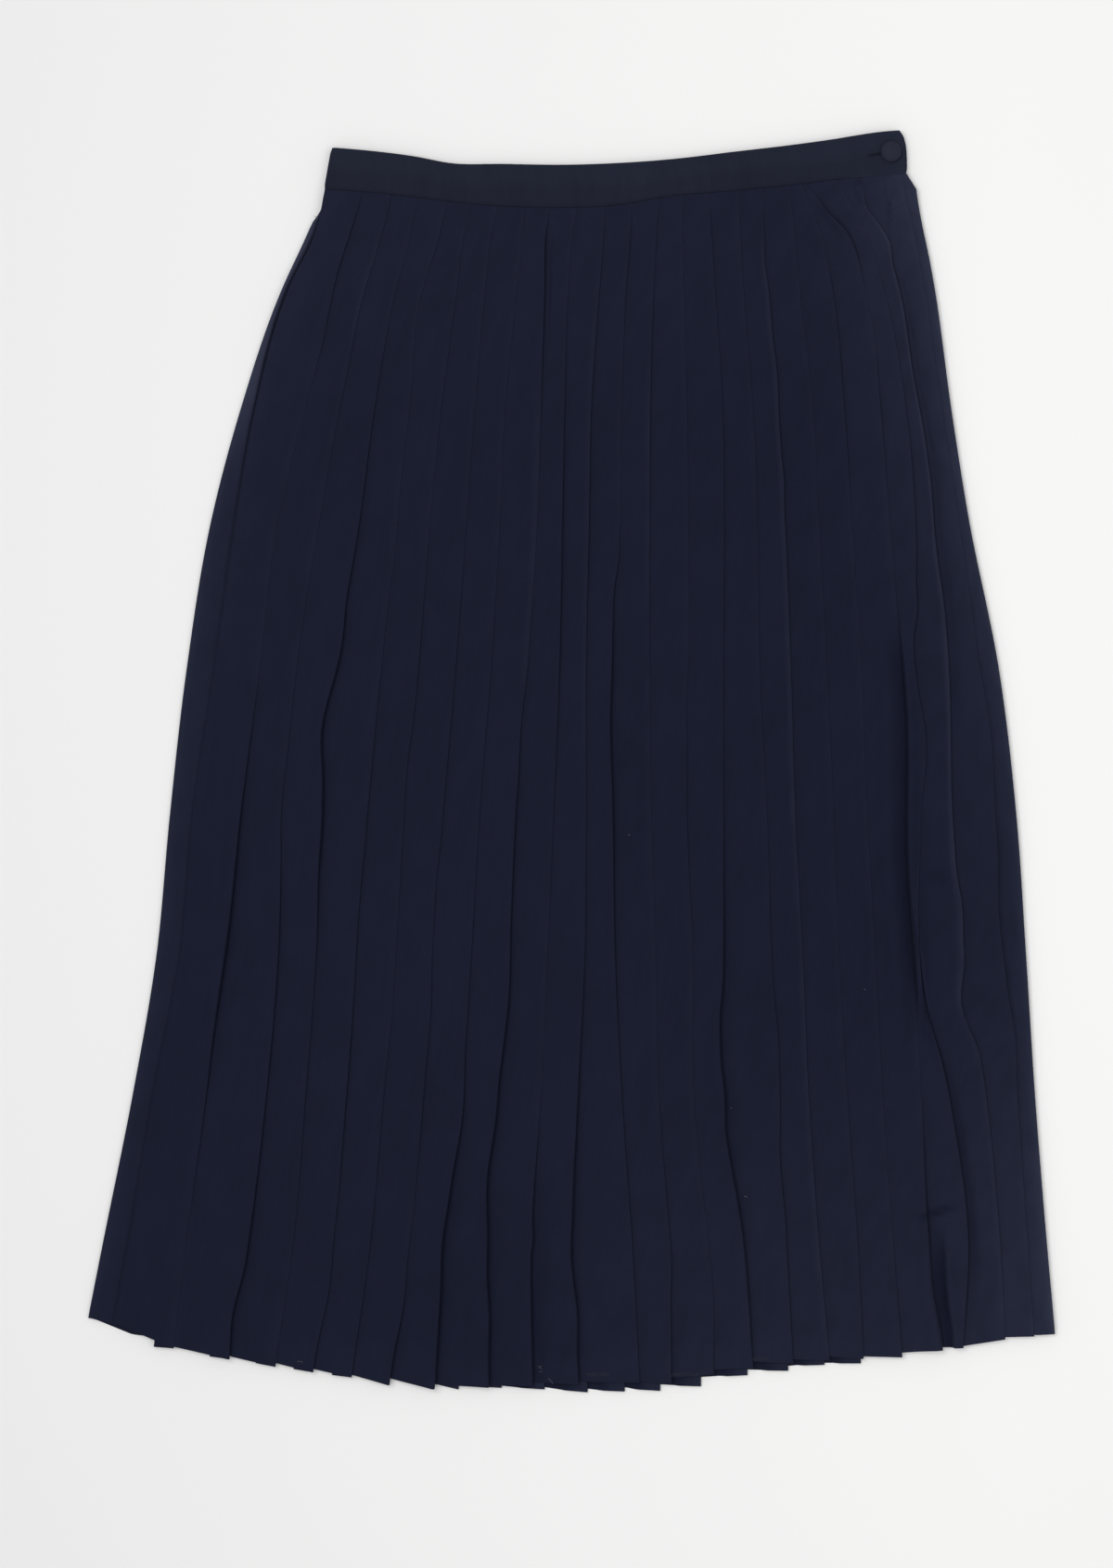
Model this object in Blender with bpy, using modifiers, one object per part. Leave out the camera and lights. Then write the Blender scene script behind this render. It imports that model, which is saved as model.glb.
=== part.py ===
"""Knife-pleated midi skirt, buttoned at the side of its waistband and laid out flat.

The skirt lies on the XY plane with its front panel up, its waistband towards +Y and its hem towards -Y.
It is built from the pieces that a maker cuts and sews: a front panel and a back panel, each one strip of
cloth laid in knife pleats, a waistband that runs round from the buttoned end over the front, round the
left side, along the back and round the right side to an underlap, and a covered button.
Sizes are in millimetres here and become metres in the meshes.
"""

import math
from collections import namedtuple

import bmesh
import bpy
import numpy as np

MM = 0.001

# Overall size of the skirt as it lies
SKIRT_WIDTH = 652.0
SKIRT_LENGTH = 850.0

# The cloth, its plies and the seams
CLOTH = 1.0
PLY_GAP = 0.3
SEAM_GAP = 0.3
SEAM_ALLOWANCE = 12.0
HALF_CLOTH = CLOTH / 2

# The knife pleats: how far each one reaches under its own fold, and the room its face has to climb
UNDERLAY = 13.5
FOLD_CLEARANCE = 0.8
CLIMB_RUN = 3.2
CLIMB_ROOM = CLIMB_RUN + 2 * FOLD_CLEARANCE

# Side folds, where the cloth turns from one panel towards the other
BACK_TURN_AT_WAIST = 12.0
BACK_TURN_AT_HEM = 29.0
SHOULDER = 5.0
SHOULDER_DROP = 9.0

# The waistband
BAND_WALL = 2.3
BAND_END_INSET = 2.5
UNDERLAP = 32.0
BAND_ROWS = (0.0, 0.62, 1.0)

# The covered button and its buttonhole
BUTTON_X = 215.3
BUTTON_DROP = 15.0
BUTTON_RADIUS = 7.0
BUTTON_DOME = 3.4
BUTTON_RIM = 1.3
DOME_ANGLES = (15, 32, 50, 68, 84)
UNDERCUT_AT_RIM = 0.97
UNDERCUT_AT_FACE = 0.86
BUTTON_STEPS = 28
AXIS_MERGE = 0.01
SHANK_RADIUS = 0.5
SLOT_LENGTH = 14.9
SLOT_WIDTH = 1.7
SLOT_TILT = math.radians(10.5)
SLOT_START_FROM_BUTTON = -13.7

# Distance of each level below the highest point of the waistband
LEVEL_DROPS = {
    "yoke": 69.0,
    "tummy": 107.0,
    "hip": 187.0,
    "seat": 262.5,
    "thigh": 362.0,
    "low_thigh": 462.0,
    "knee": 556.0,
    "shin": 650.0,
    "calf": 749.5,
}
FRONT_LEVELS = ("waist", *LEVEL_DROPS, "hem")
BACK_LEVELS = ("waist", "yoke", "hip", "thigh", "knee", "calf", "hem")

# Edges of the front, left to right: the left side fold, the pleats' folds and the right side fold.
# Each row holds how far right of the middle the edge lies at each level, then how low the hem reaches
# at the edge and just past it.
Fold = namedtuple(
    "Fold",
    "waist yoke tummy hip seat thigh low_thigh knee shin calf hem edge_drop next_drop",
)
FRONT_FOLDS = (
    Fold(-166, -174, -189, -213, -226.5, -241, -256, -264.5, -282.5, -299, -309, 803, 803),
    Fold(-141, -148, -158, -179, -197.5, -210, -223, -235.5, -246, -259.5, -268, 820, 819),
    Fold(-122, -128, -138, -156, -169.5, -185, -194.5, -197.5, -205.5, -217.5, -230, 827, 825.5),
    Fold(-103, -108, -118, -132.5, -142.5, -159, -169, -172, -179, -187.5, -199.5, 832.5, 830),
    Fold(-84, -88.5, -99, -109, -117.5, -128, -137.5, -144.5, -151.5, -160.5, -174, 836, 834),
    Fold(-67, -72, -77, -87.5, -95, -103, -112.5, -118.5, -126.5, -135.5, -148, 839.5, 838),
    Fold(-50, -53.5, -58, -65, -70.5, -78, -86.5, -94, -99.5, -109, -122.5, 844.5, 840.5),
    Fold(-31, -32.5, -36.5, -44.5, -48, -54, -62, -67.5, -74, -85.5, -92, 847, 844.5),
    Fold(-14, -17, -18, -20.5, -23, -29.5, -37.5, -42, -49.5, -56.5, -55.5, 846, 845),
    Fold(4, 1, -2, -4.5, -6, -8, -12, -16, -20.5, -27, -26, 845, 843),
    Fold(23, 22, 19, 13.5, 12, 10, 10, 9, 4.5, 0.5, 5, 844, 842.5),
    Fold(41, 40, 37, 34, 33, 26, 28, 29.5, 34, 41, 46, 843, 842),
    Fold(59, 57.5, 55.5, 52.5, 52.5, 53, 54, 57, 59, 66, 67.5, 844, 840),
    Fold(75, 75, 76, 78, 79, 79.5, 78, 82, 82.5, 92, 96, 837.5, 834.5),
    Fold(93, 94.5, 97, 102, 103, 102.5, 102.5, 102.5, 101, 116, 122.5, 833, 829),
    Fold(112.5, 114, 116, 122.5, 125.5, 127, 132, 135, 140.5, 145, 149.5, 830, 827.5),
    Fold(129, 130, 133, 139.5, 144, 148, 151, 156, 160, 167, 174, 828, 825.5),
    Fold(144, 150, 154, 163, 167, 172.5, 177, 180.5, 186, 193, 197, 827, 825.5),
    Fold(157, 167.5, 176, 184, 189, 195.5, 199.5, 205, 210, 217, 223, 826, 823),
    Fold(169.5, 183, 198, 208.5, 214.5, 221, 222.5, 228, 235.5, 241, 251, 821, 819.5),
    Fold(182, 196, 210, 223, 230.5, 232.5, 235.5, 239, 254.5, 267, 265, 819.5, 818.5),
    Fold(195, 209, 221, 235, 245.5, 254.5, 257, 265, 279.5, 289, 292.5, 814, 812.5),
    Fold(210, 222.5, 233, 245.5, 256.5, 273, 286, 292, 300.5, 307.5, 312, 812, 811),
    Fold(229, 237.5, 245, 256.5, 268, 288, 300, 306.5, 312.5, 320.5, 326, 810.5, 810.5),
)

# The back panel's side folds, then its pleats' inner folds along the hem, left to right
Side = namedtuple("Side", "waist yoke hip thigh knee calf hem edge_drop")
BACK_LEFT = Side(-166, -176, -222.5, -259.5, -279.5, -313.5, -326, 800)
BACK_RIGHT = Side(226, 235.5, 254.5, 286, 304.5, 318.5, 324, 808)
InnerFold = namedtuple("InnerFold", "hem edge_drop next_drop")
BACK_FOLDS = (
    InnerFold(-277, 812, 811),
    InnerFold(-248, 820, 818),
    InnerFold(-220, 826, 824),
    InnerFold(-192, 830, 828),
    InnerFold(-164, 834, 832),
    InnerFold(-135, 838, 836),
    InnerFold(-105, 843, 840),
    InnerFold(-76, 848, 845),
    InnerFold(-47, 847, 846),
    InnerFold(-18, 848, 847),
    InnerFold(11, 850, 848),
    InnerFold(36, 849.5, 847),
    InnerFold(60, 849, 845),
    InnerFold(87.5, 846, 840),
    InnerFold(119, 838.5, 835),
    InnerFold(146.5, 835.5, 832.5),
    InnerFold(171, 831.5, 830.5),
    InnerFold(195.5, 830.5, 824),
    InnerFold(222, 822, 820),
    InnerFold(249, 818, 816),
    InnerFold(277, 812.5, 811),
    InnerFold(303, 809.5, 808.5),
)
BACK_FIRST_FACE_AT_WAIST = 29.0
BACK_LAST_FACE_AT_WAIST = 15.0

# The waistband's edges along its length: how low its top edge and its seam lie
BandPoint = namedtuple("BandPoint", "x top_drop seam_drop")
BAND_POINTS = (
    BandPoint(-166, 11.5, 40),
    BandPoint(-132, 14.5, 42.5),
    BandPoint(-105, 18, 45.5),
    BandPoint(-81, 22.5, 48.5),
    BandPoint(-47, 23, 51.5),
    BandPoint(0, 23.5, 52.5),
    BandPoint(29, 22.5, 51),
    BandPoint(65, 20, 45),
    BandPoint(112, 14.5, 41),
    BandPoint(142, 11, 38),
    BandPoint(172, 7, 34.5),
    BandPoint(212, 1, 30.5),
    BandPoint(226, 0, 29.5),
)
BAND_LEFT = (-166, -163, -161)
BAND_RIGHT = (225.5, 225.5, 222)

# A point of a cross-section: its place from left to right, its height, and how low on the skirt it lies
Corner = namedtuple("Corner", "x height drop")


def plies(base, wall):
    """Heights of the middles of three plies of cloth lying on each other from the base up."""
    return [base + wall / 2 + step * (wall + PLY_GAP) for step in range(3)]


BACK_PLIES = plies(0.0, CLOTH)
FRONT_PLIES = plies(BACK_PLIES[2] + HALF_CLOTH + PLY_GAP, CLOTH)
BAND_PLIES = plies(0.0, BAND_WALL)


def seam_drop(x):
    """How low the seam between the waistband and the panels lies at x."""
    return np.interp(x, [p.x for p in BAND_POINTS], [p.seam_drop for p in BAND_POINTS])


def top_drop(x):
    """How low the waistband's top edge lies at x."""
    return np.interp(x, [p.x for p in BAND_POINTS], [p.top_drop for p in BAND_POINTS])


def mix(first, second, share):
    """The value that lies this share of the way from the first to the second."""
    return first + (second - first) * share


def drops_at(level, folds):
    """How low each edge of a level lies, at the edge and just past it. At the waist the seam gives it."""
    if level == "hem":
        return [f.edge_drop for f in folds], [f.next_drop for f in folds]
    drop = LEVEL_DROPS.get(level, 0.0)
    return [drop] * len(folds), [drop] * len(folds)


def knife_pleats(edges, edge_drops, next_drops, heights, late):
    """Corners of the pleats between the first and the last edge of one cross-section.

    Each face starts on the lowest ply, under the fold to its left, climbs to the highest, turns down at its
    own fold, runs back on the middle ply and turns down again into the next face. A late climb keeps the
    underside flat up to the next inner fold, an early one slopes over the whole visible face.
    """
    low, middle, high = heights
    corners = []
    for i in range(1, len(edges) - 1):
        pitch = edges[i] - edges[i - 1]
        inner = edges[i] - min(UNDERLAY, pitch - CLIMB_ROOM)
        climb_to = inner - FOLD_CLEARANCE
        climb_from = climb_to - CLIMB_RUN if late else edges[i - 1] + FOLD_CLEARANCE
        shares = [(x - edges[i - 1]) / pitch for x in (climb_from, climb_to)]
        on_face = [mix(next_drops[i - 1], edge_drops[i], share) for share in shares]
        corners += [
            Corner(climb_from, low, on_face[0]),
            Corner(climb_to, high, on_face[1]),
            Corner(edges[i] - HALF_CLOTH, high, edge_drops[i]),
            Corner(edges[i] - HALF_CLOTH, middle, edge_drops[i]),
            Corner(inner + HALF_CLOTH, middle, next_drops[i]),
            Corner(inner + HALF_CLOTH, low, next_drops[i]),
        ]
    return corners


def front_section(level):
    """Cross-section of the front panel at a level, from its left seam allowance to its right one."""
    low, middle, _ = FRONT_PLIES
    edges = [getattr(fold, level) for fold in FRONT_FOLDS]
    edge_drops, next_drops = drops_at(level, FRONT_FOLDS)
    pleats = knife_pleats(edges, edge_drops, next_drops, FRONT_PLIES, late=False)
    left = edges[0] + HALF_CLOTH
    right = edges[-1] - HALF_CLOTH
    last_face = edges[-2] + FOLD_CLEARANCE
    first_inner = edges[1] - min(UNDERLAY, edges[1] - edges[0] - CLIMB_ROOM)
    left_turned = min(SEAM_ALLOWANCE, first_inner - edges[0] - 2 * FOLD_CLEARANCE)
    right_turned = min(SEAM_ALLOWANCE, edges[-1] - last_face - CLIMB_RUN - 2 * FOLD_CLEARANCE)
    left_end = [
        Corner(edges[0] + left_turned, low, edge_drops[0]),
        Corner(left, low, edge_drops[0]),
        Corner(left, middle, edge_drops[0]),
    ]
    right_end = [
        Corner(last_face, low, next_drops[-2]),
        Corner(last_face + CLIMB_RUN, middle, next_drops[-2]),
        Corner(edges[-1] - SHOULDER, middle, edge_drops[-1]),
        Corner(right, middle, edge_drops[-1]),
        Corner(right, low, edge_drops[-1]),
        Corner(edges[-1] - right_turned, low, edge_drops[-1]),
    ]
    first_face = pleats[0]._replace(x=left + CLIMB_RUN, height=middle)
    corners = left_end + [first_face] + pleats[1:] + right_end
    if level != "waist":
        return corners
    at_seam = [corner._replace(drop=seam_drop(corner.x) + SEAM_GAP) for corner in corners]
    for i in (-3, -2):
        at_seam[i] = at_seam[i]._replace(drop=at_seam[i].drop + SHOULDER_DROP)
    return at_seam


def back_edges(level):
    """The back panel's side folds and inner folds at a level, evenly spaced only at the waist."""
    left = getattr(BACK_LEFT, level)
    right = getattr(BACK_RIGHT, level)
    span = BACK_RIGHT.waist - BACK_LEFT.waist
    first = BACK_FIRST_FACE_AT_WAIST / span
    last = 1 - BACK_LAST_FACE_AT_WAIST / span
    at_waist = np.linspace(first, last, len(BACK_FOLDS))
    hem_span = BACK_RIGHT.hem - BACK_LEFT.hem
    at_hem = np.array([(fold.hem - BACK_LEFT.hem) / hem_span for fold in BACK_FOLDS])
    down = {"waist": 0.0, "hem": 1.0}.get(level, LEVEL_DROPS.get(level, 0.0) / SKIRT_LENGTH)
    shares = mix(at_waist, at_hem, down)
    return left, [left + (right - left) * share for share in shares], right, down


def back_section(level):
    """Cross-section of the back panel at a level, flat along its underside."""
    low, _, high = BACK_PLIES
    left, inner_folds, right, down = back_edges(level)
    turn = mix(BACK_TURN_AT_WAIST, BACK_TURN_AT_HEM, down)
    edge_drops, next_drops = drops_at(level, BACK_FOLDS)
    hem_left = BACK_LEFT.edge_drop if level == "hem" else edge_drops[0]
    hem_right = BACK_RIGHT.edge_drop if level == "hem" else edge_drops[0]
    turned_end = mix(hem_left, edge_drops[0], turn / (inner_folds[0] - left))
    pleats = knife_pleats(
        [left + turn, *inner_folds, right],
        [turned_end, *edge_drops, hem_right],
        [turned_end, *next_drops, hem_right],
        BACK_PLIES,
        late=True,
    )
    returned = min(SEAM_ALLOWANCE, right - inner_folds[-1] - 2 * FOLD_CLEARANCE)
    left_end = [
        Corner(left + turn, high, turned_end),
        Corner(left + HALF_CLOTH, high, hem_left),
        Corner(left + HALF_CLOTH, low, hem_left),
    ]
    right_end = [
        Corner(right - HALF_CLOTH, low, hem_right),
        Corner(right - HALF_CLOTH, high, hem_right),
        Corner(right - returned, high, hem_right),
    ]
    corners = left_end + pleats + right_end
    if level != "waist":
        return corners
    return [corner._replace(drop=seam_drop(corner.x) + SEAM_GAP) for corner in corners]


def band_section(row):
    """The waistband's loop at one of its rows, from the buttoned end round to the end of the underlap."""
    up = BAND_ROWS[row]
    left = BAND_LEFT[row]
    right = BAND_RIGHT[row]
    back, underlap, front = BAND_PLIES
    half = BAND_WALL / 2
    length = right - left
    stations = [(p.x - BAND_POINTS[0].x) / (BAND_POINTS[-1].x - BAND_POINTS[0].x) for p in BAND_POINTS]
    inside = [left + half + share * (length - BAND_WALL) for share in stations]
    slot_side = [right - UNDERLAP, right - BAND_END_INSET]
    front_run = [x for x in inside if x < slot_side[0] - half] + slot_side
    places = [(x, front) for x in reversed(front_run)]
    places += [(x, back) for x in inside]
    places += [(right - half, underlap), (right - UNDERLAP, underlap)]
    return [Corner(x, z, mix(seam_drop(x), top_drop(x), up)) for x, z in places]


def loft(name, sections):
    """A sheet through cross-sections that have the same number of corners each."""
    points = [
        (corner.x * MM, (SKIRT_LENGTH / 2 - corner.drop) * MM, corner.height * MM)
        for section in sections
        for corner in section
    ]
    width = len(sections[0])
    faces = [
        (row * width + i, row * width + i + 1, (row + 1) * width + i + 1, (row + 1) * width + i)
        for row in range(len(sections) - 1)
        for i in range(width - 1)
    ]
    mesh = bpy.data.meshes.new(name)
    mesh.from_pydata(points, [], faces)
    return bpy.data.objects.new(name, mesh)


def thicken(sheet, wall):
    """Give a sheet its wall, half to each side, even round its folds."""
    solidify = sheet.modifiers.new("wall", "SOLIDIFY")
    solidify.thickness = wall * MM
    solidify.offset = 0.0
    solidify.use_even_offset = True
    solidify.use_quality_normals = True


def make_button(name):
    """The covered button: a low dome over a rounded rim, with a thread shank through the slot."""
    face = BAND_PLIES[2] + BAND_WALL / 2 + SEAM_GAP
    foot = BAND_PLIES[1] + BAND_WALL / 2 + SEAM_GAP
    dome = [
        (BUTTON_RADIUS * math.sin(angle), face + BUTTON_RIM + BUTTON_DOME * math.cos(angle))
        for angle in np.radians(DOME_ANGLES)
    ]
    under = [
        (BUTTON_RADIUS * UNDERCUT_AT_RIM, face + BUTTON_RIM / 2),
        (BUTTON_RADIUS * UNDERCUT_AT_FACE, face),
    ]
    shank = [(SHANK_RADIUS, face), (SHANK_RADIUS, foot), (0.0, foot)]
    profile = [(0.0, face + BUTTON_RIM + BUTTON_DOME), *dome, *under, *shank]
    mesh = bpy.data.meshes.new(name)
    edges = [(i, i + 1) for i in range(len(profile) - 1)]
    mesh.from_pydata([(r * MM, 0.0, z * MM) for r, z in profile], edges, [])
    button = bpy.data.objects.new(name, mesh)
    button.location = (BUTTON_X * MM, (SKIRT_LENGTH / 2 - BUTTON_DROP) * MM, 0.0)
    screw = button.modifiers.new("turn", "SCREW")
    screw.steps = BUTTON_STEPS
    screw.render_steps = BUTTON_STEPS
    screw.use_merge_vertices = True
    screw.merge_threshold = AXIS_MERGE * MM
    return button


def cut_buttonhole(band, cutters):
    """Cut the slot for the button through the front ply of the waistband only."""
    bm = bmesh.new()
    bmesh.ops.create_cube(bm, size=1.0)
    slot = (SLOT_LENGTH * MM, SLOT_WIDTH * MM, (BAND_WALL + PLY_GAP) * MM)
    bmesh.ops.scale(bm, vec=slot, verts=bm.verts)
    mesh = bpy.data.meshes.new("buttonhole_cutter")
    bm.to_mesh(mesh)
    bm.free()
    cutter = bpy.data.objects.new("buttonhole_cutter", mesh)
    middle = SLOT_START_FROM_BUTTON + SLOT_LENGTH / 2
    x = BUTTON_X + middle * math.cos(SLOT_TILT)
    y = SKIRT_LENGTH / 2 - BUTTON_DROP + middle * math.sin(SLOT_TILT)
    cutter.location = (x * MM, y * MM, BAND_PLIES[2] * MM)
    cutter.rotation_euler = (0.0, 0.0, SLOT_TILT)
    cutter.hide_render = True
    cutter.display_type = "WIRE"
    cutters.objects.link(cutter)
    cut = band.modifiers.new("buttonhole", "BOOLEAN")
    cut.operation = "DIFFERENCE"
    cut.solver = "EXACT"
    cut.object = cutter


def cloth_material(name, colour, roughness):
    """A matt cloth finish in one colour."""
    material = bpy.data.materials.new(name)
    material.use_nodes = True
    shader = material.node_tree.nodes["Principled BSDF"]
    shader.inputs["Base Color"].default_value = (*colour, 1.0)
    shader.inputs["Roughness"].default_value = roughness
    shader.inputs["Metallic"].default_value = 0.0
    return material


def clear_scene():
    """Remove what the startup scene holds."""
    for obj in list(bpy.data.objects):
        bpy.data.objects.remove(obj, do_unlink=True)


def new_collection(name):
    """A collection linked to the scene."""
    collection = bpy.data.collections.new(name)
    bpy.context.scene.collection.children.link(collection)
    return collection


def main():
    clear_scene()
    skirt = new_collection("pleated_skirt")
    cutters = new_collection("cutters")
    cutters.hide_render = True

    front = loft("front_panel", [front_section(level) for level in FRONT_LEVELS])
    back = loft("back_panel", [back_section(level) for level in BACK_LEVELS])
    band = loft("waistband", [band_section(row) for row in range(len(BAND_ROWS))])
    button = make_button("button")
    for sheet, wall in ((front, CLOTH), (back, CLOTH), (band, BAND_WALL)):
        thicken(sheet, wall)

    finishes = (
        (front, "front_cloth", (0.011, 0.013, 0.027), 0.82),
        (back, "back_cloth", (0.012, 0.014, 0.028), 0.82),
        (band, "band_cloth", (0.014, 0.017, 0.031), 0.8),
        (button, "button_cloth", (0.021, 0.025, 0.041), 0.7),
    )
    for obj, name, colour, roughness in finishes:
        obj.data.materials.append(cloth_material(name, colour, roughness))
        skirt.objects.link(obj)
    cut_buttonhole(band, cutters)


main()
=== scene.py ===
"""Looks of a knife-pleated midi skirt laid out flat, front up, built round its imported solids.

Tables and sizes are in millimetres, as a pattern cutter writes them: x runs right of the skirt's middle,
a drop runs down from the highest point of the waistband, and a height runs up from the floor. Meshes are
in metres. Each piece is one sheet or closed form worked out on a grid of numpy arrays.
"""

import logging
import math
from dataclasses import dataclass, field
from enum import Enum
from typing import Any, NamedTuple, Sequence

import bpy
import numpy as np
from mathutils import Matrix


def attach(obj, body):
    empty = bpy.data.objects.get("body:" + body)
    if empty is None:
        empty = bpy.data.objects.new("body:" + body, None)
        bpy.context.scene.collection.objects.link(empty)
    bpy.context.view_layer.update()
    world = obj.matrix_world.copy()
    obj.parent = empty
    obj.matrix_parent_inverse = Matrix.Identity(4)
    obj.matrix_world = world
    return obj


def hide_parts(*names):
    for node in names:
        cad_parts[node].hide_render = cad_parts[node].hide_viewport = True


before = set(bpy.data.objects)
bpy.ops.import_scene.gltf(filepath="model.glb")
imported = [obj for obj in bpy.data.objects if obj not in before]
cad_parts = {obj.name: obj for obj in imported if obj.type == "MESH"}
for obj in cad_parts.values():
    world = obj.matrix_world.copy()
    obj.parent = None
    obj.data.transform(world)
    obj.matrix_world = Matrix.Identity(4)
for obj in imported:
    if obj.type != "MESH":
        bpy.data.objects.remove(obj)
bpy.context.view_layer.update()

LOG = logging.getLogger("pleated_skirt")
MM = 0.001
SKIRT_LENGTH = 850.0

LEVEL_DROPS = {
    "yoke": 69.0,
    "tummy": 107.0,
    "hip": 187.0,
    "seat": 262.5,
    "thigh": 362.0,
    "low_thigh": 462.0,
    "knee": 556.0,
    "shin": 650.0,
    "calf": 749.5,
}


class Levels(NamedTuple):
    """One measure at each level of the skirt, from the waistband's seam down to the hem."""

    waist: float
    yoke: float
    tummy: float
    hip: float
    seat: float
    thigh: float
    low_thigh: float
    knee: float
    shin: float
    calf: float
    hem: float


class Fold(NamedTuple):
    """Where a fold of the front lies at each level, and how low the hem is at it and just past it."""

    places: Levels
    edge_drop: float
    next_drop: float


FRONT_FOLDS = (
    Fold(Levels(-166, -172.5, -190.5, -213, -226.5, -241, -256, -264.5, -282.5, -299, -309), 803, 803),
    Fold(Levels(-141, -148, -158, -179, -197.5, -210, -223, -235.5, -246, -259.5, -268), 820, 819),
    Fold(Levels(-122, -128, -138, -156, -169.5, -185, -194.5, -197.5, -205.5, -217.5, -230), 827, 825.5),
    Fold(Levels(-103, -108, -118, -132.5, -142.5, -159, -169, -172, -179, -187.5, -199.5), 832.5, 830),
    Fold(Levels(-84, -88.5, -99, -109, -117.5, -128, -137.5, -144.5, -151.5, -160.5, -174), 836, 834),
    Fold(Levels(-67, -72, -77, -87.5, -95, -103, -112.5, -118.5, -126.5, -135.5, -148), 839.5, 838),
    Fold(Levels(-50, -53.5, -58, -65, -70.5, -78, -86.5, -94, -99.5, -109, -122.5), 844.5, 840.5),
    Fold(Levels(-31, -32.5, -36.5, -44.5, -48, -54, -62, -67.5, -74, -85.5, -92), 847, 844.5),
    Fold(Levels(-14, -17, -18, -20.5, -23, -29.5, -37.5, -42, -49.5, -56.5, -55.5), 846, 845),
    Fold(Levels(4, 1, -2, -4.5, -6, -8, -12, -16, -20.5, -27, -26), 845, 843),
    Fold(Levels(23, 22, 19, 13.5, 12, 10, 10, 9, 4.5, 0.5, 5), 844, 842.5),
    Fold(Levels(41, 40, 37, 34, 33, 26, 28, 29.5, 34, 41, 46), 843, 842),
    Fold(Levels(59, 57.5, 55.5, 52.5, 52.5, 53, 54, 57, 59, 66, 67.5), 844, 840),
    Fold(Levels(75, 75, 76, 78, 79, 79.5, 78, 82, 82.5, 92, 96), 837.5, 834.5),
    Fold(Levels(93, 94.5, 97, 102, 103, 102.5, 102.5, 102.5, 101, 116, 122.5), 833, 829),
    Fold(Levels(112.5, 114, 116, 122.5, 125.5, 127, 132, 135, 140.5, 145, 149.5), 830, 827.5),
    Fold(Levels(129, 130, 133, 139.5, 144, 148, 151, 156, 160, 167, 174), 828, 825.5),
    Fold(Levels(147, 150.5, 154, 163, 167, 172.5, 177, 180.5, 186, 193, 197), 827, 825.5),
    Fold(Levels(155, 168, 176, 184, 189, 195.5, 199.5, 205, 210, 217, 223), 826, 823),
    Fold(Levels(158, 186, 199, 208.5, 214.5, 222, 223, 230.5, 236, 241.3, 250.3), 821, 819.5),
    Fold(Levels(179, 198, 210.5, 225.5, 232, 231.5, 235.5, 234.5, 254.5, 267.5, 264), 819.5, 818.5),
    Fold(Levels(193.5, 209.5, 221, 235, 245.5, 254.5, 257, 265, 279.5, 289, 292.5), 814, 812.5),
    Fold(Levels(222, 231, 238, 249.5, 261, 275, 286, 292, 300.5, 307.5, 312), 812, 811),
    Fold(Levels(232.5, 238.2, 245, 256, 268, 288, 300, 306.5, 312.5, 320.5, 326), 810.5, 810.5),
)


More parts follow.
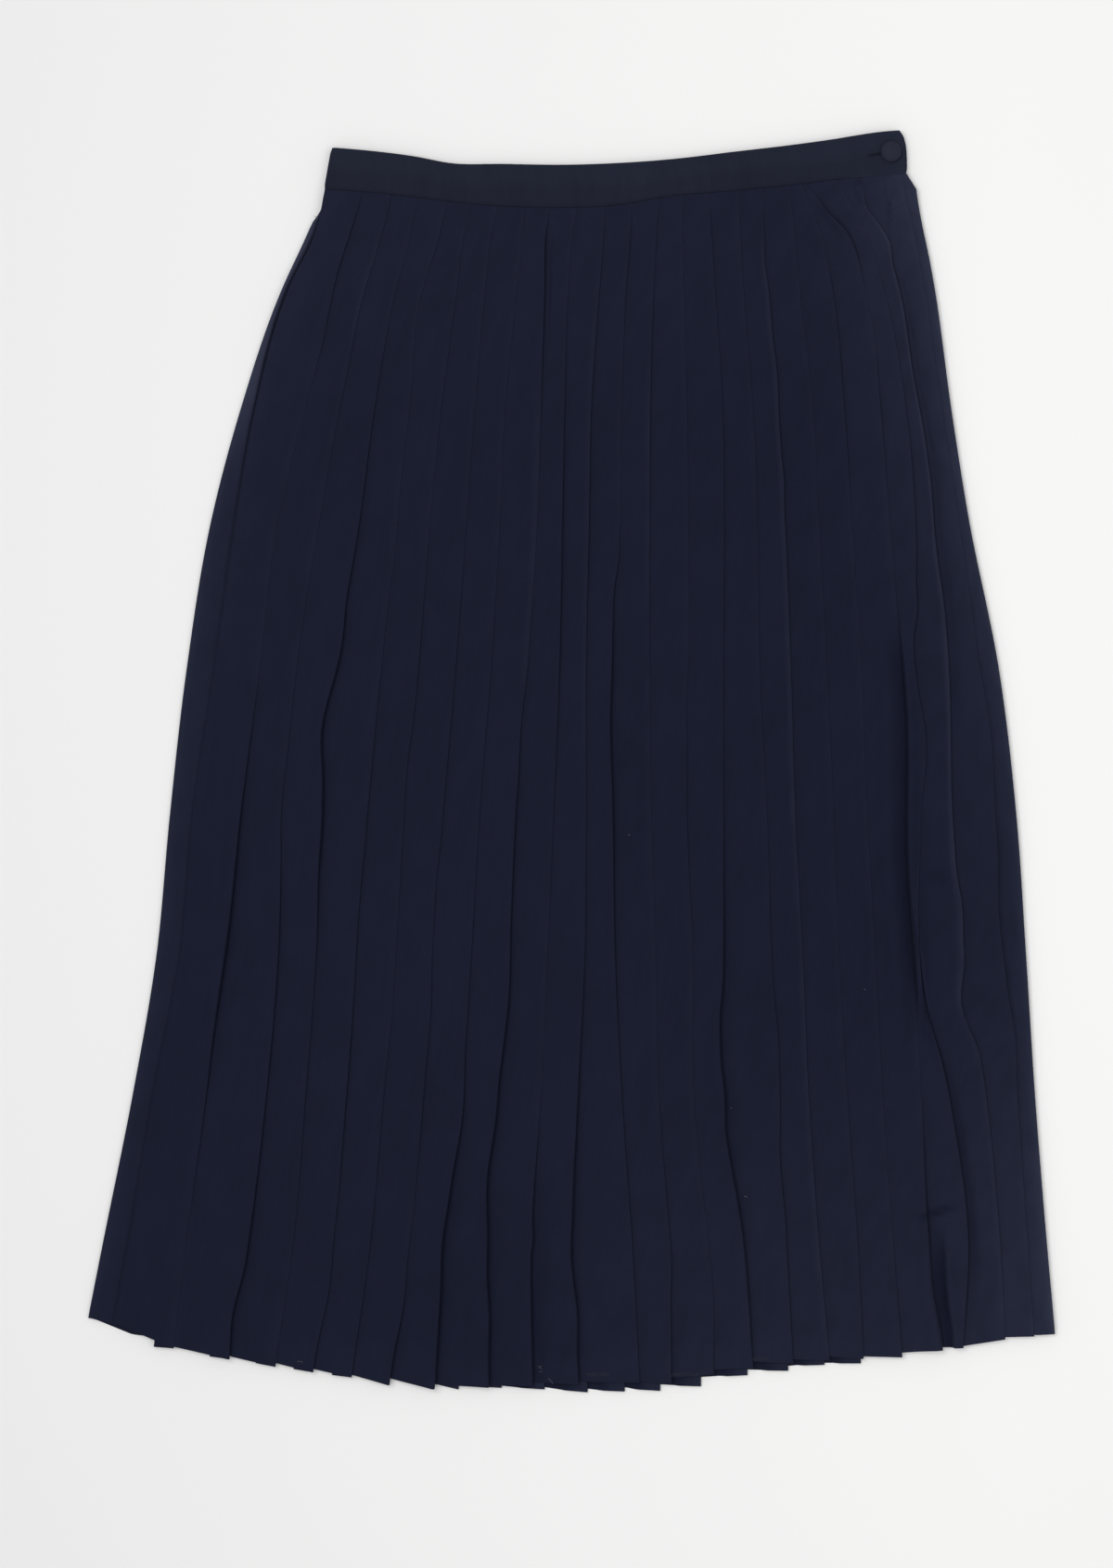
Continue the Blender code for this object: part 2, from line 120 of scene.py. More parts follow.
# How far each fold of the front stands open above its pressed height, side folds left out
FRONT_LIFTS = (
    Levels(0.9, 0.9, 0.8, 0.0, 0.0, 0.1, 2.2, 4.1, 1.3, 0.0, 0.0),
    Levels(0.9, 0.2, 0.3, 0.2, 0.1, 0.2, 0.5, 1.5, 1.5, 2.2, 3.1),
    Levels(0.3, 0.1, 0.1, 0.7, 1.3, 2.7, 4.1, 0.9, 0.7, 0.2, 0.2),
    Levels(0.1, 0.3, 0.1, 0.1, 0.1, 0.3, 0.9, 0.9, 1.3, 0.6, 1.2),
    Levels(0.6, 0.1, 0.2, 0.2, 0.1, 0.6, 0.4, 0.2, 0.4, 0.6, 0.9),
    Levels(0.2, 0.2, 0.2, 0.1, 0.2, 0.6, 0.6, 0.5, 0.8, 0.3, 2.7),
    Levels(0.6, 0.1, 0.1, 0.1, 0.1, 0.4, 0.4, 0.6, 1.5, 4.6, 4.6),
    Levels(0.2, 1.5, 1.5, 0.5, 0.1, 0.5, 1.9, 2.2, 3.6, 4.6, 3.6),
    Levels(0.1, 0.1, 0.2, 0.9, 1.5, 1.2, 0.5, 0.2, 0.1, 2.7, 4.1),
    Levels(0.1, 0.3, 0.5, 0.9, 1.2, 0.7, 0.5, 0.9, 2.2, 4.6, 3.6),
    Levels(0.1, 0.5, 0.5, 0.1, 0.2, 2.7, 2.7, 1.5, 0.9, 0.9, 0.7),
    Levels(0.1, 0.3, 0.5, 0.9, 0.6, 0.3, 0.1, 0.1, 0.2, 0.9, 1.5),
    Levels(0.1, 0.1, 0.1, 0.2, 0.2, 0.1, 0.6, 0.1, 0.1, 0.2, 0.7),
    Levels(0.3, 0.5, 0.3, 0.5, 0.7, 0.7, 0.9, 3.1, 4.6, 3.6, 1.5),
    Levels(0.1, 0.2, 0.2, 0.2, 0.2, 0.3, 0.2, 0.6, 0.9, 1.3, 0.9),
    Levels(0.1, 0.5, 0.9, 1.2, 1.2, 0.7, 0.5, 0.4, 0.5, 0.6, 0.4),
    Levels(0.1, 0.1, 0.1, 0.1, 0.1, 0.2, 0.2, 0.1, 0.3, 0.5, 0.7),
    Levels(0.0, 0.0, 0.5, 0.7, 0.1, 0.1, 0.1, 0.2, 0.2, 0.2, 0.8),
    Levels(1.2, 1.6, 0.1, 0.6, 0.1, 0.2, 0.1, 0.1, 0.1, 3.2, 5.0),
    Levels(0.0, 0.0, 0.1, 0.5, 0.9, 1.2, 0.3, 1.2, 2.7, 2.6, 1.4),
    Levels(0.5, 0.9, 1.5, 1.5, 1.5, 1.2, 1.2, 1.2, 0.7, 0.5, 0.3),
    Levels(0.0, 0.0, 0.0, 0.1, 0.1, 0.5, 0.9, 1.5, 0.7, 0.3, 0.3),
)


class Kink(NamedTuple):
    """A place where one fold swerves sideways, over a reach up and down from its middle."""

    fold: int
    drop: float
    reach: float
    sideways: float


FRONT_KINKS = (
    Kink(1, 98, 50, -2.4),
    Kink(1, 540, 90, 2.4),
    Kink(2, 56, 22, 1.1),
    Kink(2, 118, 40, -1.2),
    Kink(2, 456, 40, -1.2),
    Kink(2, 798, 36, -3.0),
    Kink(3, 346, 34, 2.2),
    Kink(3, 404, 40, -4.1),
    Kink(3, 470, 36, 1.3),
    Kink(4, 125, 50, -1.5),
    Kink(4, 285, 50, 1.0),
    Kink(4, 530, 60, -0.9),
    Kink(4, 782, 40, 1.8),
    Kink(5, 431, 40, -1.1),
    Kink(5, 594, 50, 0.9),
    Kink(6, 506, 36, -0.9),
    Kink(6, 594, 46, 1.5),
    Kink(6, 792, 36, 1.7),
    Kink(7, 665, 50, 2.1),
    Kink(7, 750, 36, -1.4),
    Kink(8, 400, 40, -1.2),
    Kink(8, 588, 60, 1.9),
    Kink(8, 706, 44, -2.6),
    Kink(8, 800, 30, 1.2),
    Kink(9, 746, 14, 1.2),
    Kink(10, 755, 24, -0.8),
    Kink(10, 798, 30, 1.8),
    Kink(11, 288, 16, 0.6),
    Kink(11, 312, 20, -0.8),
    Kink(11, 362, 44, 1.4),
    Kink(12, 200, 120, 0.8),
    Kink(12, 760, 30, 1.0),
    Kink(13, 385, 50, -1.4),
    Kink(13, 790, 50, 1.8),
    Kink(14, 598, 26, -1.1),
    Kink(14, 650, 30, 2.2),
    Kink(15, 612, 40, 1.2),
    Kink(15, 694, 44, -1.9),
    Kink(16, 90, 20, -1.0),
    Kink(16, 165, 30, 1.0),
    Kink(16, 235, 20, 0.8),
    Kink(19, 56, 14, -2.5),
    Kink(19, 115, 40, -1.4),
    Kink(19, 425, 95, 3.4),
    Kink(19, 780, 36, -1.4),
    Kink(20, 322, 18, 1.4),
    Kink(20, 346, 20, -1.1),
    Kink(20, 412, 54, 5.6),
    Kink(20, 592, 40, -1.8),
    Kink(21, 52, 14, -3.4),
    Kink(21, 76, 16, 2.8),
    Kink(21, 156, 50, -1.4),
    Kink(21, 281, 50, -1.8),
    Kink(21, 524, 30, 2.0),
    Kink(21, 590, 36, -7.0),
    Kink(22, 406, 60, 2.4),
    Kink(22, 528, 50, -1.9),
    Kink(22, 614, 40, 2.3),
)


class Shine(NamedTuple):
    """A stretch of a fold whose pressed edge catches the light, given as a painted highlight in its colour.
    """

    fold: int
    drop: float
    end_drop: float
    strength: float


# Painted highlights along stretches of fold edges, added to the colour
FRONT_SHINES = (
    Shine(2, 60, 150, 0.12),
    Shine(8, 170, 390, 0.12),
    Shine(10, 90, 420, 0.1),
    Shine(12, 140, 330, 0.1),
    Shine(16, 64, 480, 0.24),
    Shine(16, 440, 840, 0.15),
    Shine(20, 480, 590, 0.14),
    Shine(21, 36, 600, 0.34),
    Shine(21, 560, 820, 0.1),
)


class Crease(NamedTuple):
    """A soft ridge, or a trough where its height is negative, from one point of the cloth to another."""

    x: float
    drop: float
    end_x: float
    end_drop: float
    width: float
    height: float


FRONT_CREASES = (
    Crease(267.0, 536, 257.0, 590, 3.4, 0.9),
    Crease(230.0, 735, 262.0, 724, 2.2, -1.2),
    Crease(238.0, 739, 262.0, 734, 3.0, 1.0),
    Crease(234.0, 508, 259.0, 504, 3.0, -0.6),
    Crease(256.0, 512, 270.0, 524, 6.0, 0.9),
    Crease(-279.0, 672, -284.0, 706, 3.0, 0.5),
    Crease(-39.0, 699, -31.0, 672, 2.2, 0.5),
    Crease(54.0, 764, 70.0, 763, 1.4, 0.4),
    Crease(213.4, 8, 214.4, 80, 0.9, -1.2),
    Crease(193.5, 30, 193.8, 50, 1.6, -1.1),
    Crease(192.0, 36, 207.0, 35, 0.9, 0.4),
    Crease(162.0, 46, 186.0, 76, 1.8, -0.3),
    Crease(178.0, 58, 185.0, 66, 1.6, -0.6),
    Crease(174.0, 47, 199.0, 84, 3.6, 0.9),
    Crease(150.0, 60, 172.0, 96, 5.0, 0.4),
)


class Furrow(NamedTuple):
    """A soft ridge beside a fold, or a trough where its height is negative.

    The shift is how far it moves sideways on its way down.
    """

    fold: int
    offset: float
    drop: float
    end_drop: float
    left_reach: float
    right_reach: float
    height: float
    shift: float = 0.0


FRONT_FURROWS = (
    Furrow(19, -11.0, 322, 625, 8.0, 7.0, 3.2),
    Furrow(19, 0.3, 322, 610, 7.0, 0.9, -2.1),
    Furrow(19, 1.7, 328, 600, 0.8, 7.0, 3.6),
    Furrow(19, 0.5, 520, 628, 4.0, 1.0, -1.8, 8.0),
    Furrow(19, 2.0, 520, 628, 0.9, 3.0, 1.6, 8.0),
    Furrow(19, -3.0, 730, 900, 9.0, 5.0, 2.4),
    Furrow(19, 9.6, 732, 980, 8.0, 1.6, -3.0, -10.0),
    Furrow(19, 12.4, 736, 980, 0.9, 6.0, 3.4, -13.8),
    Furrow(21, -2.5, 60, 330, 3.4, 1.8, 0.7),
    Furrow(21, 4.5, 90, 420, 4.0, 4.0, -0.6),
    Furrow(1, -6.0, 440, 620, 4.0, 4.0, 0.5),
    Furrow(1, -4.5, 640, 812, 2.6, 2.6, 0.6),
    Furrow(3, -3.0, 360, 430, 2.4, 2.4, 0.8),
    Furrow(8, -3.0, 170, 400, 2.2, 2.2, 0.5),
    Furrow(16, -1.8, 70, 500, 2.6, 1.4, 0.6),
    Furrow(10, -2.4, 95, 420, 2.2, 2.2, 0.4),
    Furrow(14, -4.0, 580, 690, 3.2, 3.2, 0.8),
    Furrow(9, 6.0, 690, 900, 5.0, 5.0, -0.5),
    Furrow(20, 8.0, 600, 760, 6.0, 6.0, 0.6),
    Furrow(20, 3.0, 620, 800, 2.0, 5.0, -1.2),
)


class Side(NamedTuple):
    """Where a side fold of the back panel lies at each level, and how low the hem is there."""

    places: Levels
    edge_drop: float


BACK_LEFT = Side(Levels(-166, -178, -195.5, -223, -243, -259.5, -271, -280, -296, -316, -326), 800)
BACK_RIGHT = Side(Levels(226, 235.5, 241, 254.5, 266, 286, 297, 304.5, 311, 318.5, 324), 808)


class InnerFold(NamedTuple):
    """Where a pleat of the back ends at the hem, and how low the hem is at it and just past it."""

    hem: float
    edge_drop: float
    next_drop: float


BACK_FOLDS = (
    InnerFold(-277, 812, 811),
    InnerFold(-248, 820, 818),
    InnerFold(-220, 826, 824),
    InnerFold(-192, 830, 828),
    InnerFold(-164, 834, 832),
    InnerFold(-135, 838, 836),
    InnerFold(-105, 843, 840),
    InnerFold(-76, 848, 845),
    InnerFold(-47, 847, 846),
    InnerFold(-18, 848, 847),
    InnerFold(11, 850, 848),
    InnerFold(36, 849.5, 847),
    InnerFold(60, 849, 845),
    InnerFold(87.5, 846, 840),
    InnerFold(119, 838.5, 835),
    InnerFold(146.5, 835.5, 832.5),
    InnerFold(171, 831.5, 830.5),
    InnerFold(195.5, 830.5, 824),
    InnerFold(222, 822, 820),
    InnerFold(249, 818, 816),
    InnerFold(277, 812.5, 811),
    InnerFold(303, 809.5, 808.5),
)


class BandPoint(NamedTuple):
    """How low the waistband's top edge and its seam lie at one place along it."""

    x: float
    top_drop: float
    seam_drop: float


BAND_POINTS = (
    BandPoint(-166, 11.5, 40),
    BandPoint(-132, 14.5, 42.5),
    BandPoint(-105, 18, 45.5),
    BandPoint(-81, 22.5, 48.5),
    BandPoint(-47, 23, 51.5),
    BandPoint(0, 23.5, 52.5),
    BandPoint(29, 22.5, 51),
    BandPoint(65, 20, 45),
    BandPoint(112, 14.5, 41),
    BandPoint(142, 11, 38),
    BandPoint(172, 7, 34.5),
    BandPoint(212, 1, 30.5),
    BandPoint(226, 0, 29.5),
)


class Slot(Enum):
    """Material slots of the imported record."""

    SKIRT = "skirt_cloth"
    BAND = "waistband_cloth"
    BUTTON = "button_cloth"


def mix(first: Any, second: Any, share: Any) -> Any:
    """The value that lies this share of the way from the first to the second."""
    return first + (second - first) * share


def ease(share: Any) -> Any:
    """A share from 0 to 1 that starts and ends gently: three squares less two cubes."""
    kept = np.clip(share, 0.0, 1.0)
    return kept * kept * (3.0 - 2.0 * kept)


def bell(away: Any, reach: Any) -> Any:
    """A share that is 1 at no distance: the exponential of less the square of distance over reach."""
    return np.exp(-((away / reach) ** 2))


def fade(away: Any, reach: float) -> Any:
    """A share that is 1 up to no distance and dies away exponentially past it."""
    return np.exp(-np.maximum(away, 0.0) / reach)


class Fade(NamedTuple):
    """A strength at an edge that dies away over a reach."""

    strength: float
    reach: float

    def at(self, away: Any) -> Any:
        """The strength so far from the edge."""
        return self.strength * fade(away, self.reach)


class Ramp(NamedTuple):
    """Where a share is 0 and where it is 1, in either direction."""

    zero: float
    one: float

    def at(self, place: Any) -> Any:
        """The share at a place, with a gentle start and end."""
        return ease((place - self.zero) / (self.one - self.zero))


def smooth_line(drop: np.ndarray, knots: Sequence[float], values: Sequence[float]) -> np.ndarray:
    """A smooth line through a value at each knot.

    It is a cubic between each two, with the slope that a parabola through a knot and its neighbours
    has there.

    Args:
        drop: where the line is read.
        knots: rising drops at which the values are known.
        values: the value at each knot.

    Returns:
        The line's value at each drop, level past its ends.
    """
    at = np.asarray(knots, float)
    known = np.asarray(values, float)
    slope = np.gradient(known, at)
    held = np.clip(drop, at[0], at[-1])
    k = np.clip(np.searchsorted(at, held, side="right") - 1, 0, len(at) - 2)
    span = at[k + 1] - at[k]
    t = (held - at[k]) / span
    start = (2 * t**3 - 3 * t**2 + 1) * known[k] + (t**3 - 2 * t**2 + t) * span * slope[k]
    end = (3 * t**2 - 2 * t**3) * known[k + 1] + (t**3 - t**2) * span * slope[k + 1]
    return start + end


class Course(NamedTuple):
    """A measure that changes down the skirt: the drops at which it is known, and its values there."""

    drops: tuple
    values: tuple

    def at(self, drop: np.ndarray) -> np.ndarray:
        """The measure at each drop."""
        return smooth_line(drop, self.drops, self.values)


def band_line(x: Any, drops: Sequence[float]) -> np.ndarray:
    """How low a line along the waistband lies at x, from its drop at each of the band's points."""
    return smooth_line(np.asarray(x, float), [point.x for point in BAND_POINTS], drops)


def seam_drop(x: Any) -> np.ndarray:
    """How low the seam between the waistband and the panels lies at x."""
    return band_line(x, [point.seam_drop for point in BAND_POINTS])


def top_drop(x: Any) -> np.ndarray:
    """How low the waistband's top edge lies at x."""
    return band_line(x, [point.top_drop for point in BAND_POINTS])


def level_knots(fold: Fold | Side) -> list:
    """Drops at which a fold's place is known, from the waistband's seam to the hem."""
    return [float(seam_drop(fold.places.waist)), *LEVEL_DROPS.values(), fold.edge_drop]


def front_edge(number: int, drop: np.ndarray) -> np.ndarray:
    """Where a fold of the front lies at each drop: its course down the skirt and its kinks.

    Args:
        number: the fold's number, counted from the left.
        drop: places from top to bottom.

    Returns:
        Its place from left to right at each drop.
    """
    fold = FRONT_FOLDS[number]
    place = smooth_line(drop, level_knots(fold), fold.places)
    for kink in FRONT_KINKS:
        if kink.fold == number:
            place = place + kink.sideways * ease(1.0 - np.abs(drop - kink.drop) / kink.reach)
    return place


def crease_heights(creases: Sequence[Crease], x: np.ndarray, drop: np.ndarray) -> np.ndarray:
    """Height that the creases add at each point of the cloth.

    Each one is a bell across its line and fades out gently over the last part of its length.

    Args:
        creases: the creases of this cloth.
        x: places from left to right.
        drop: places from top to bottom, of the same shape.

    Returns:
        The sum of all creases' heights.
    """
    total = np.zeros(np.broadcast(x, drop).shape)
    for crease in creases:
        run_x = crease.end_x - crease.x
        run_drop = crease.end_drop - crease.drop
        length = math.hypot(run_x, run_drop)
        along = ((x - crease.x) * run_x + (drop - crease.drop) * run_drop) / length**2
        across = ((x - crease.x) * run_drop - (drop - crease.drop) * run_x) / length
        window = ease(1.0 - np.abs(2.0 * along - 1.0)) ** 0.7
        total += crease.height * window * bell(across, crease.width)
    return total


def grid_faces(rows: int, columns: int) -> np.ndarray:
    """Corners of the quads between the points of a grid, numbered row by row."""
    first = (np.arange(rows - 1)[:, None] * columns + np.arange(columns - 1)[None, :]).ravel()
    return np.stack([first, first + columns, first + columns + 1, first + 1], axis=1)


def ring_faces(rings: int, around: int) -> np.ndarray:
    """Corners of the quads between closed rings of points, numbered ring by ring.

    Args:
        rings: how many rings of points there are.
        around: how many points each ring has.

    Returns:
        Four corners a row.
    """
    first = np.arange(rings - 1)[:, None] * around
    this = np.arange(around)[None, :]
    following = (this + 1) % around
    corners = (first + this, first + around + this, first + around + following, first + following)
    return np.stack([corner.ravel() for corner in corners], axis=1)


def to_world(x: np.ndarray, drop: np.ndarray, height: np.ndarray) -> np.ndarray:
    """Points in metres from places in millimetres, stacked on a last axis."""
    spread = np.broadcast_arrays(x, SKIRT_LENGTH / 2 - np.asarray(drop), height)
    return np.stack(spread, axis=-1) * MM


def new_mesh(name: str, points: np.ndarray, faces: Sequence[Sequence[int]]) -> bpy.types.Object:
    """An object in the scene with a smooth-shaded mesh of these points and faces.

    Args:
        name: the piece's name.
        points: one row of x, y and z in metres for each point.
        faces: the corners of each face.

    Returns:
        The new object.
    """
    mesh = bpy.data.meshes.new(name)
    corners = faces.tolist() if isinstance(faces, np.ndarray) else faces
    mesh.from_pydata(np.asarray(points).reshape(-1, 3).tolist(), [], corners)
    mesh.polygons.foreach_set("use_smooth", np.ones(len(mesh.polygons), bool))
    mesh.update()
    made = bpy.data.objects.new(name, mesh)
    bpy.context.scene.collection.objects.link(made)
    return made


def sharpen_border(piece: bpy.types.Object, rows: int, columns: int) -> None:
    """Keep the shading of a sheet's grid from rounding over its cut edges.

    Args:
        piece: the piece.
        rows: how many rows of points the sheet has.
        columns: how many points each row has.
    """
    edges = np.empty(2 * len(piece.data.edges), np.int32)
    piece.data.edges.foreach_get("vertices", edges)
    row, column = np.divmod(edges.reshape(-1, 2), columns)
    sides = (row == 0, row == rows - 1, column == 0, column == columns - 1)
    border = np.any([side.all(axis=1) for side in sides], axis=0)
    sharp = piece.data.attributes.new("sharp_edge", "BOOLEAN", "EDGE")
    sharp.data.foreach_set("value", border)


def tube(line: np.ndarray, radius: float, sides: int = 5) -> tuple:
    """Points and faces of a round thread along a line.

    Args:
        line: points of the line in metres, one a row.
        radius: half the thread's width in metres.
        sides: how many sides it has.

    Returns:
        The thread's points and its faces, closed at both ends.
    """
    along = np.gradient(line, axis=0)
    along = along / np.linalg.norm(along, axis=1)[:, None]
    aside = np.cross(along, (0.0, 0.0, 1.0))
    aside = aside / np.linalg.norm(aside, axis=1)[:, None]
    above = np.cross(aside, along)
    turn = np.arange(sides) * 2 * math.pi / sides
    rings = line[:, None] + radius * (
        aside[:, None] * np.cos(turn)[None, :, None] + above[:, None] * np.sin(turn)[None, :, None]
    )
    faces = ring_faces(len(line), sides).tolist()
    faces.append(tuple(range(sides)))
    faces.append(tuple(range(len(line) * sides - 1, (len(line) - 1) * sides - 1, -1)))
    return rings.reshape(-1, 3), faces


def set_cloth_map(piece: bpy.types.Object, across: np.ndarray, down: np.ndarray) -> None:
    """Give a piece a UV map in metres of cloth, across the strip and down it.

    Args:
        piece: the piece.
        across: how far across the strip each point lies, in metres.
        down: how far down the strip each point lies, in metres.
    """
    mesh = piece.data
    layer = mesh.uv_layers.new(name="cloth")
    corners = np.empty(len(mesh.loops), np.int32)
    mesh.loops.foreach_get("vertex_index", corners)
    flat = np.stack([across.ravel(), down.ravel()], axis=1)[corners]
    layer.data.foreach_set("uv", flat.astype(np.float32).ravel())


def set_share(piece: bpy.types.Object, name: str, values: np.ndarray) -> None:
    """Give each point of a piece a number that its material reads."""
    attribute = piece.data.attributes.new(name, "FLOAT", "POINT")
    attribute.data.foreach_set("value", values.astype(np.float32).ravel())


def run_lengths(points: np.ndarray, axis: int) -> np.ndarray:
    """Length of cloth from the grid's start to each point, along one axis of the grid.

    Args:
        points: the grid's points in metres.
        axis: 0 to run down the grid, 1 to run across it.

    Returns:
        The lengths, in the grid's shape.
    """
    steps = np.linalg.norm(np.diff(points, axis=axis), axis=-1)
    start_shape = list(steps.shape)
    start_shape[axis] = 1
    return np.concatenate([np.zeros(start_shape), np.cumsum(steps, axis=axis)], axis=axis)


def thicken(piece: bpy.types.Object, wall: float) -> None:
    """Give a sheet its thickness in millimetres, half to each side.

    Args:
        piece: the piece.
        wall: the cloth's thickness.
    """
    solidify = piece.modifiers.new("cloth_thickness", "SOLIDIFY")
    solidify.thickness = wall * MM
    solidify.offset = 0.0
    solidify.use_even_offset = False


@dataclass
class Value:
    """A socket of a material, with arithmetic that adds Math nodes."""

    shader: "Shader"
    socket: bpy.types.NodeSocket

    def _math(self, operation: str, first: Any, second: Any) -> "Value":
        """A Math node on two values or numbers."""
        return self.shader.node("ShaderNodeMath", {"operation": operation}, {0: first, 1: second})

    def __add__(self, other: Any) -> "Value":
        """The sum of this and another."""
        return self._math("ADD", self, other)

    __radd__ = __add__

    def __rsub__(self, other: Any) -> "Value":
        """Another less this."""
        return self._math("SUBTRACT", other, self)

    def __mul__(self, other: Any) -> "Value":
        """The product of this and another."""
        return self._math("MULTIPLY", self, other)

    __rmul__ = __mul__


class Shader:
    """A material's nodes, added one by one."""

    def __init__(self, name: str) -> None:
        """Start a material with nothing but its principled shader and its output.

        Args:
            name: the material's name.
        """
        self.material = bpy.data.materials.new(name)
        self.material.use_nodes = True
        self.tree = self.material.node_tree
        self.principled = self.tree.nodes["Principled BSDF"]

    def node(self, kind: str, settings: dict, sockets: dict, output: Any = 0) -> Value:
        """Add a node.

        Args:
            kind: the node's type.
            settings: its properties, which are set first.
            sockets: a number, colour or Value for each input named or numbered here.
            output: the name or number of the output that is wanted.

        Returns:
            That output.
        """
        made = self.tree.nodes.new(kind)
        for name, value in settings.items():
            setattr(made, name, value)
        for name, value in sockets.items():
            self.feed(made.inputs[name], value)
        return Value(self, made.outputs[output])

    def feed(self, socket: bpy.types.NodeSocket, value: Any) -> None:
        """Link a Value to an input, or set a plain number or colour on it.

        Args:
            socket: the input.
            value: the Value, number or colour.
        """
        if isinstance(value, Value):
            self.tree.links.new(value.socket, socket)
        else:
            socket.default_value = value

    def surface(self, **sockets: Any) -> None:
        """Set or link inputs of the principled shader, with _ for each space in their names."""
        for name, value in sockets.items():
            self.feed(self.principled.inputs[name.replace("_", " ")], value)

    def blend(self, share: Any, first: Any, second: Any) -> Value:
        """A colour that lies this share of the way from the first to the second."""
        settings = {"data_type": "RGBA"}
        return self.node("ShaderNodeMix", settings, {0: share, 6: first, 7: second}, output=2)

    def noise(self, place: Value, scale: float, detail: float = 2.0) -> Value:
        """Cloudy noise from 0 to 1 at a place."""
        sockets = {"Vector": place, "Scale": scale, "Detail": detail}
        return self.node("ShaderNodeTexNoise", {}, sockets)

    def band_of(self, value: Value, low: float, high: float) -> Value:
        """The share from 0 to 1 at which a value lies between two limits."""
        sockets = {"Value": value, "From Min": low, "From Max": high}
        return self.node("ShaderNodeMapRange", {"clamp": True}, sockets)

    def stretched(self, place: Value, scale: Sequence[float]) -> Value:
        """A place with each of its axes scaled."""
        settings = {"operation": "MULTIPLY"}
        return self.node("ShaderNodeVectorMath", settings, {0: place, 1: tuple(scale)})

    def cloth_place(self) -> Value:
        """The place on the cloth, in metres across and down."""
        return self.node("ShaderNodeUVMap", {"uv_map": "cloth"}, {})

    def object_place(self) -> Value:
        """The place in the object, in metres."""
        return self.node("ShaderNodeTexCoord", {}, {}, output="Object")


def rgba(colour: Sequence[float]) -> tuple:
    """A colour with full opacity."""
    return (*colour, 1.0)


@dataclass(frozen=True)
class Crepe:
    """Navy polyester crepe: pebbly threads, faint clouds of shade, and painted light in its colour: paler
    painted highlights and darker painted shade.
    """

    name: str
    dark: tuple
    light: tuple
    painted_highlight: tuple
    roughness: float = 0.78
    specular: float = 0.06
    sheen: float = 0.03
    sheen_roughness: float = 0.5
    sheen_tint: tuple = (0.62, 0.66, 0.85)
    cloud_scale: float = 9.0
    patch_scale: tuple = (70.0, 38.0, 1.0)
    streak_scale: tuple = (420.0, 16.0, 1.0)
    pebble: float = 0.0011
    pebble_scale: tuple = (1.0, 0.8, 1.0)
    pebble_height: float = 0.0003
    bump: float = 0.14
    painted_shade: float = 0.2

    def build(self) -> bpy.types.Material:
        """The cloth's material.

        Clouds, patches and warp streaks mix two shades. Above zero the painted light attribute blends in
        a paler painted highlight; below zero, down in a crease, it blends in darker painted shade.

        Returns:
            The material.
        """
        shader = Shader(self.name)
        cloth = shader.cloth_place()
        clouds = shader.noise(cloth, self.cloud_scale, 3.0)
        patches = shader.noise(shader.stretched(cloth, self.patch_scale), 1.0, 3.0)
        streaks = shader.noise(shader.stretched(cloth, self.streak_scale), 1.0)
        pebbles = shader.noise(shader.stretched(cloth, self.pebble_scale), 1.0 / self.pebble)
        shade = shader.band_of(clouds * 0.35 + patches * 0.4 + streaks * 0.25, 0.35, 0.65)
        base = shader.blend(shade, rgba(self.dark), rgba(self.light))
        # Painted light per point: above zero a painted highlight towards the paler colour, below zero painted
        # shade towards the darker one
        painted_light = shader.node("ShaderNodeAttribute", {"attribute_name": "painted_light"}, {}, output="Fac")
        uneven = painted_light * (0.7 + 0.3 * shader.band_of(patches, 0.3, 0.7))
        painted_highlight = shader.blend(uneven, base, rgba(self.painted_highlight))
        painted_shade = rgba(tuple(self.painted_shade * value for value in self.dark))
        relief = {"Strength": self.bump, "Distance": self.pebble_height, "Height": pebbles + streaks * 0.25}
        shader.surface(
            Base_Color=shader.blend(shader.band_of(painted_light, 0.0, -1.0), painted_highlight, painted_shade),
            Roughness=self.roughness - 0.08 * pebbles,
            Specular_IOR_Level=self.specular,
            Sheen_Weight=self.sheen,
            Sheen_Roughness=self.sheen_roughness,
            Sheen_Tint=rgba(self.sheen_tint),
            Normal=shader.node("ShaderNodeBump", {}, relief),
        )
        return shader.material


@dataclass(frozen=True)
class Thread:
    """Sewing thread or a stray fibre: one shade with a faint twist along it."""

    name: str
    colour: tuple
    shade: float = 0.7
    twist_scale: float = 900.0
    roughness: float = 0.6

    def build(self) -> bpy.types.Material:
        """The thread's material, mottled along it.

        Returns:
            The material.
        """
        shader = Shader(self.name)
        mottle = shader.noise(shader.object_place(), self.twist_scale, 1.0)
        darker = tuple(self.shade * value for value in self.colour)
        shader.surface(
            Base_Color=shader.blend(mottle, rgba(darker), rgba(self.colour)),
            Roughness=self.roughness,
        )
        return shader.material


@dataclass(frozen=True)
class PaleFloor:
    """A pale floor, with painted shade that darkens it towards the left."""

    name: str = "pale_floor"
    # Painted shade: the floor's colour falls from right to left where the light falls off
    left: tuple = (0.800, 0.800, 0.800)
    right: tuple = (0.905, 0.905, 0.900)
    left_x: float = -0.40
    right_x: float = 0.30
    roughness: float = 0.9
    specular: float = 0.1

    def build(self) -> bpy.types.Material:
        """The floor's material, matt paper with painted shade that makes it a little greyer towards the left.

        Returns:
            The material.
        """
        shader = Shader(self.name)
        place = shader.node("ShaderNodeSeparateXYZ", {}, {0: shader.object_place()}, output="X")
        share = shader.band_of(place, self.left_x, self.right_x)
        shader.surface(
            Base_Color=shader.blend(share, rgba(self.left), rgba(self.right)),
            Roughness=self.roughness,
            Specular_IOR_Level=self.specular,
        )
        return shader.material
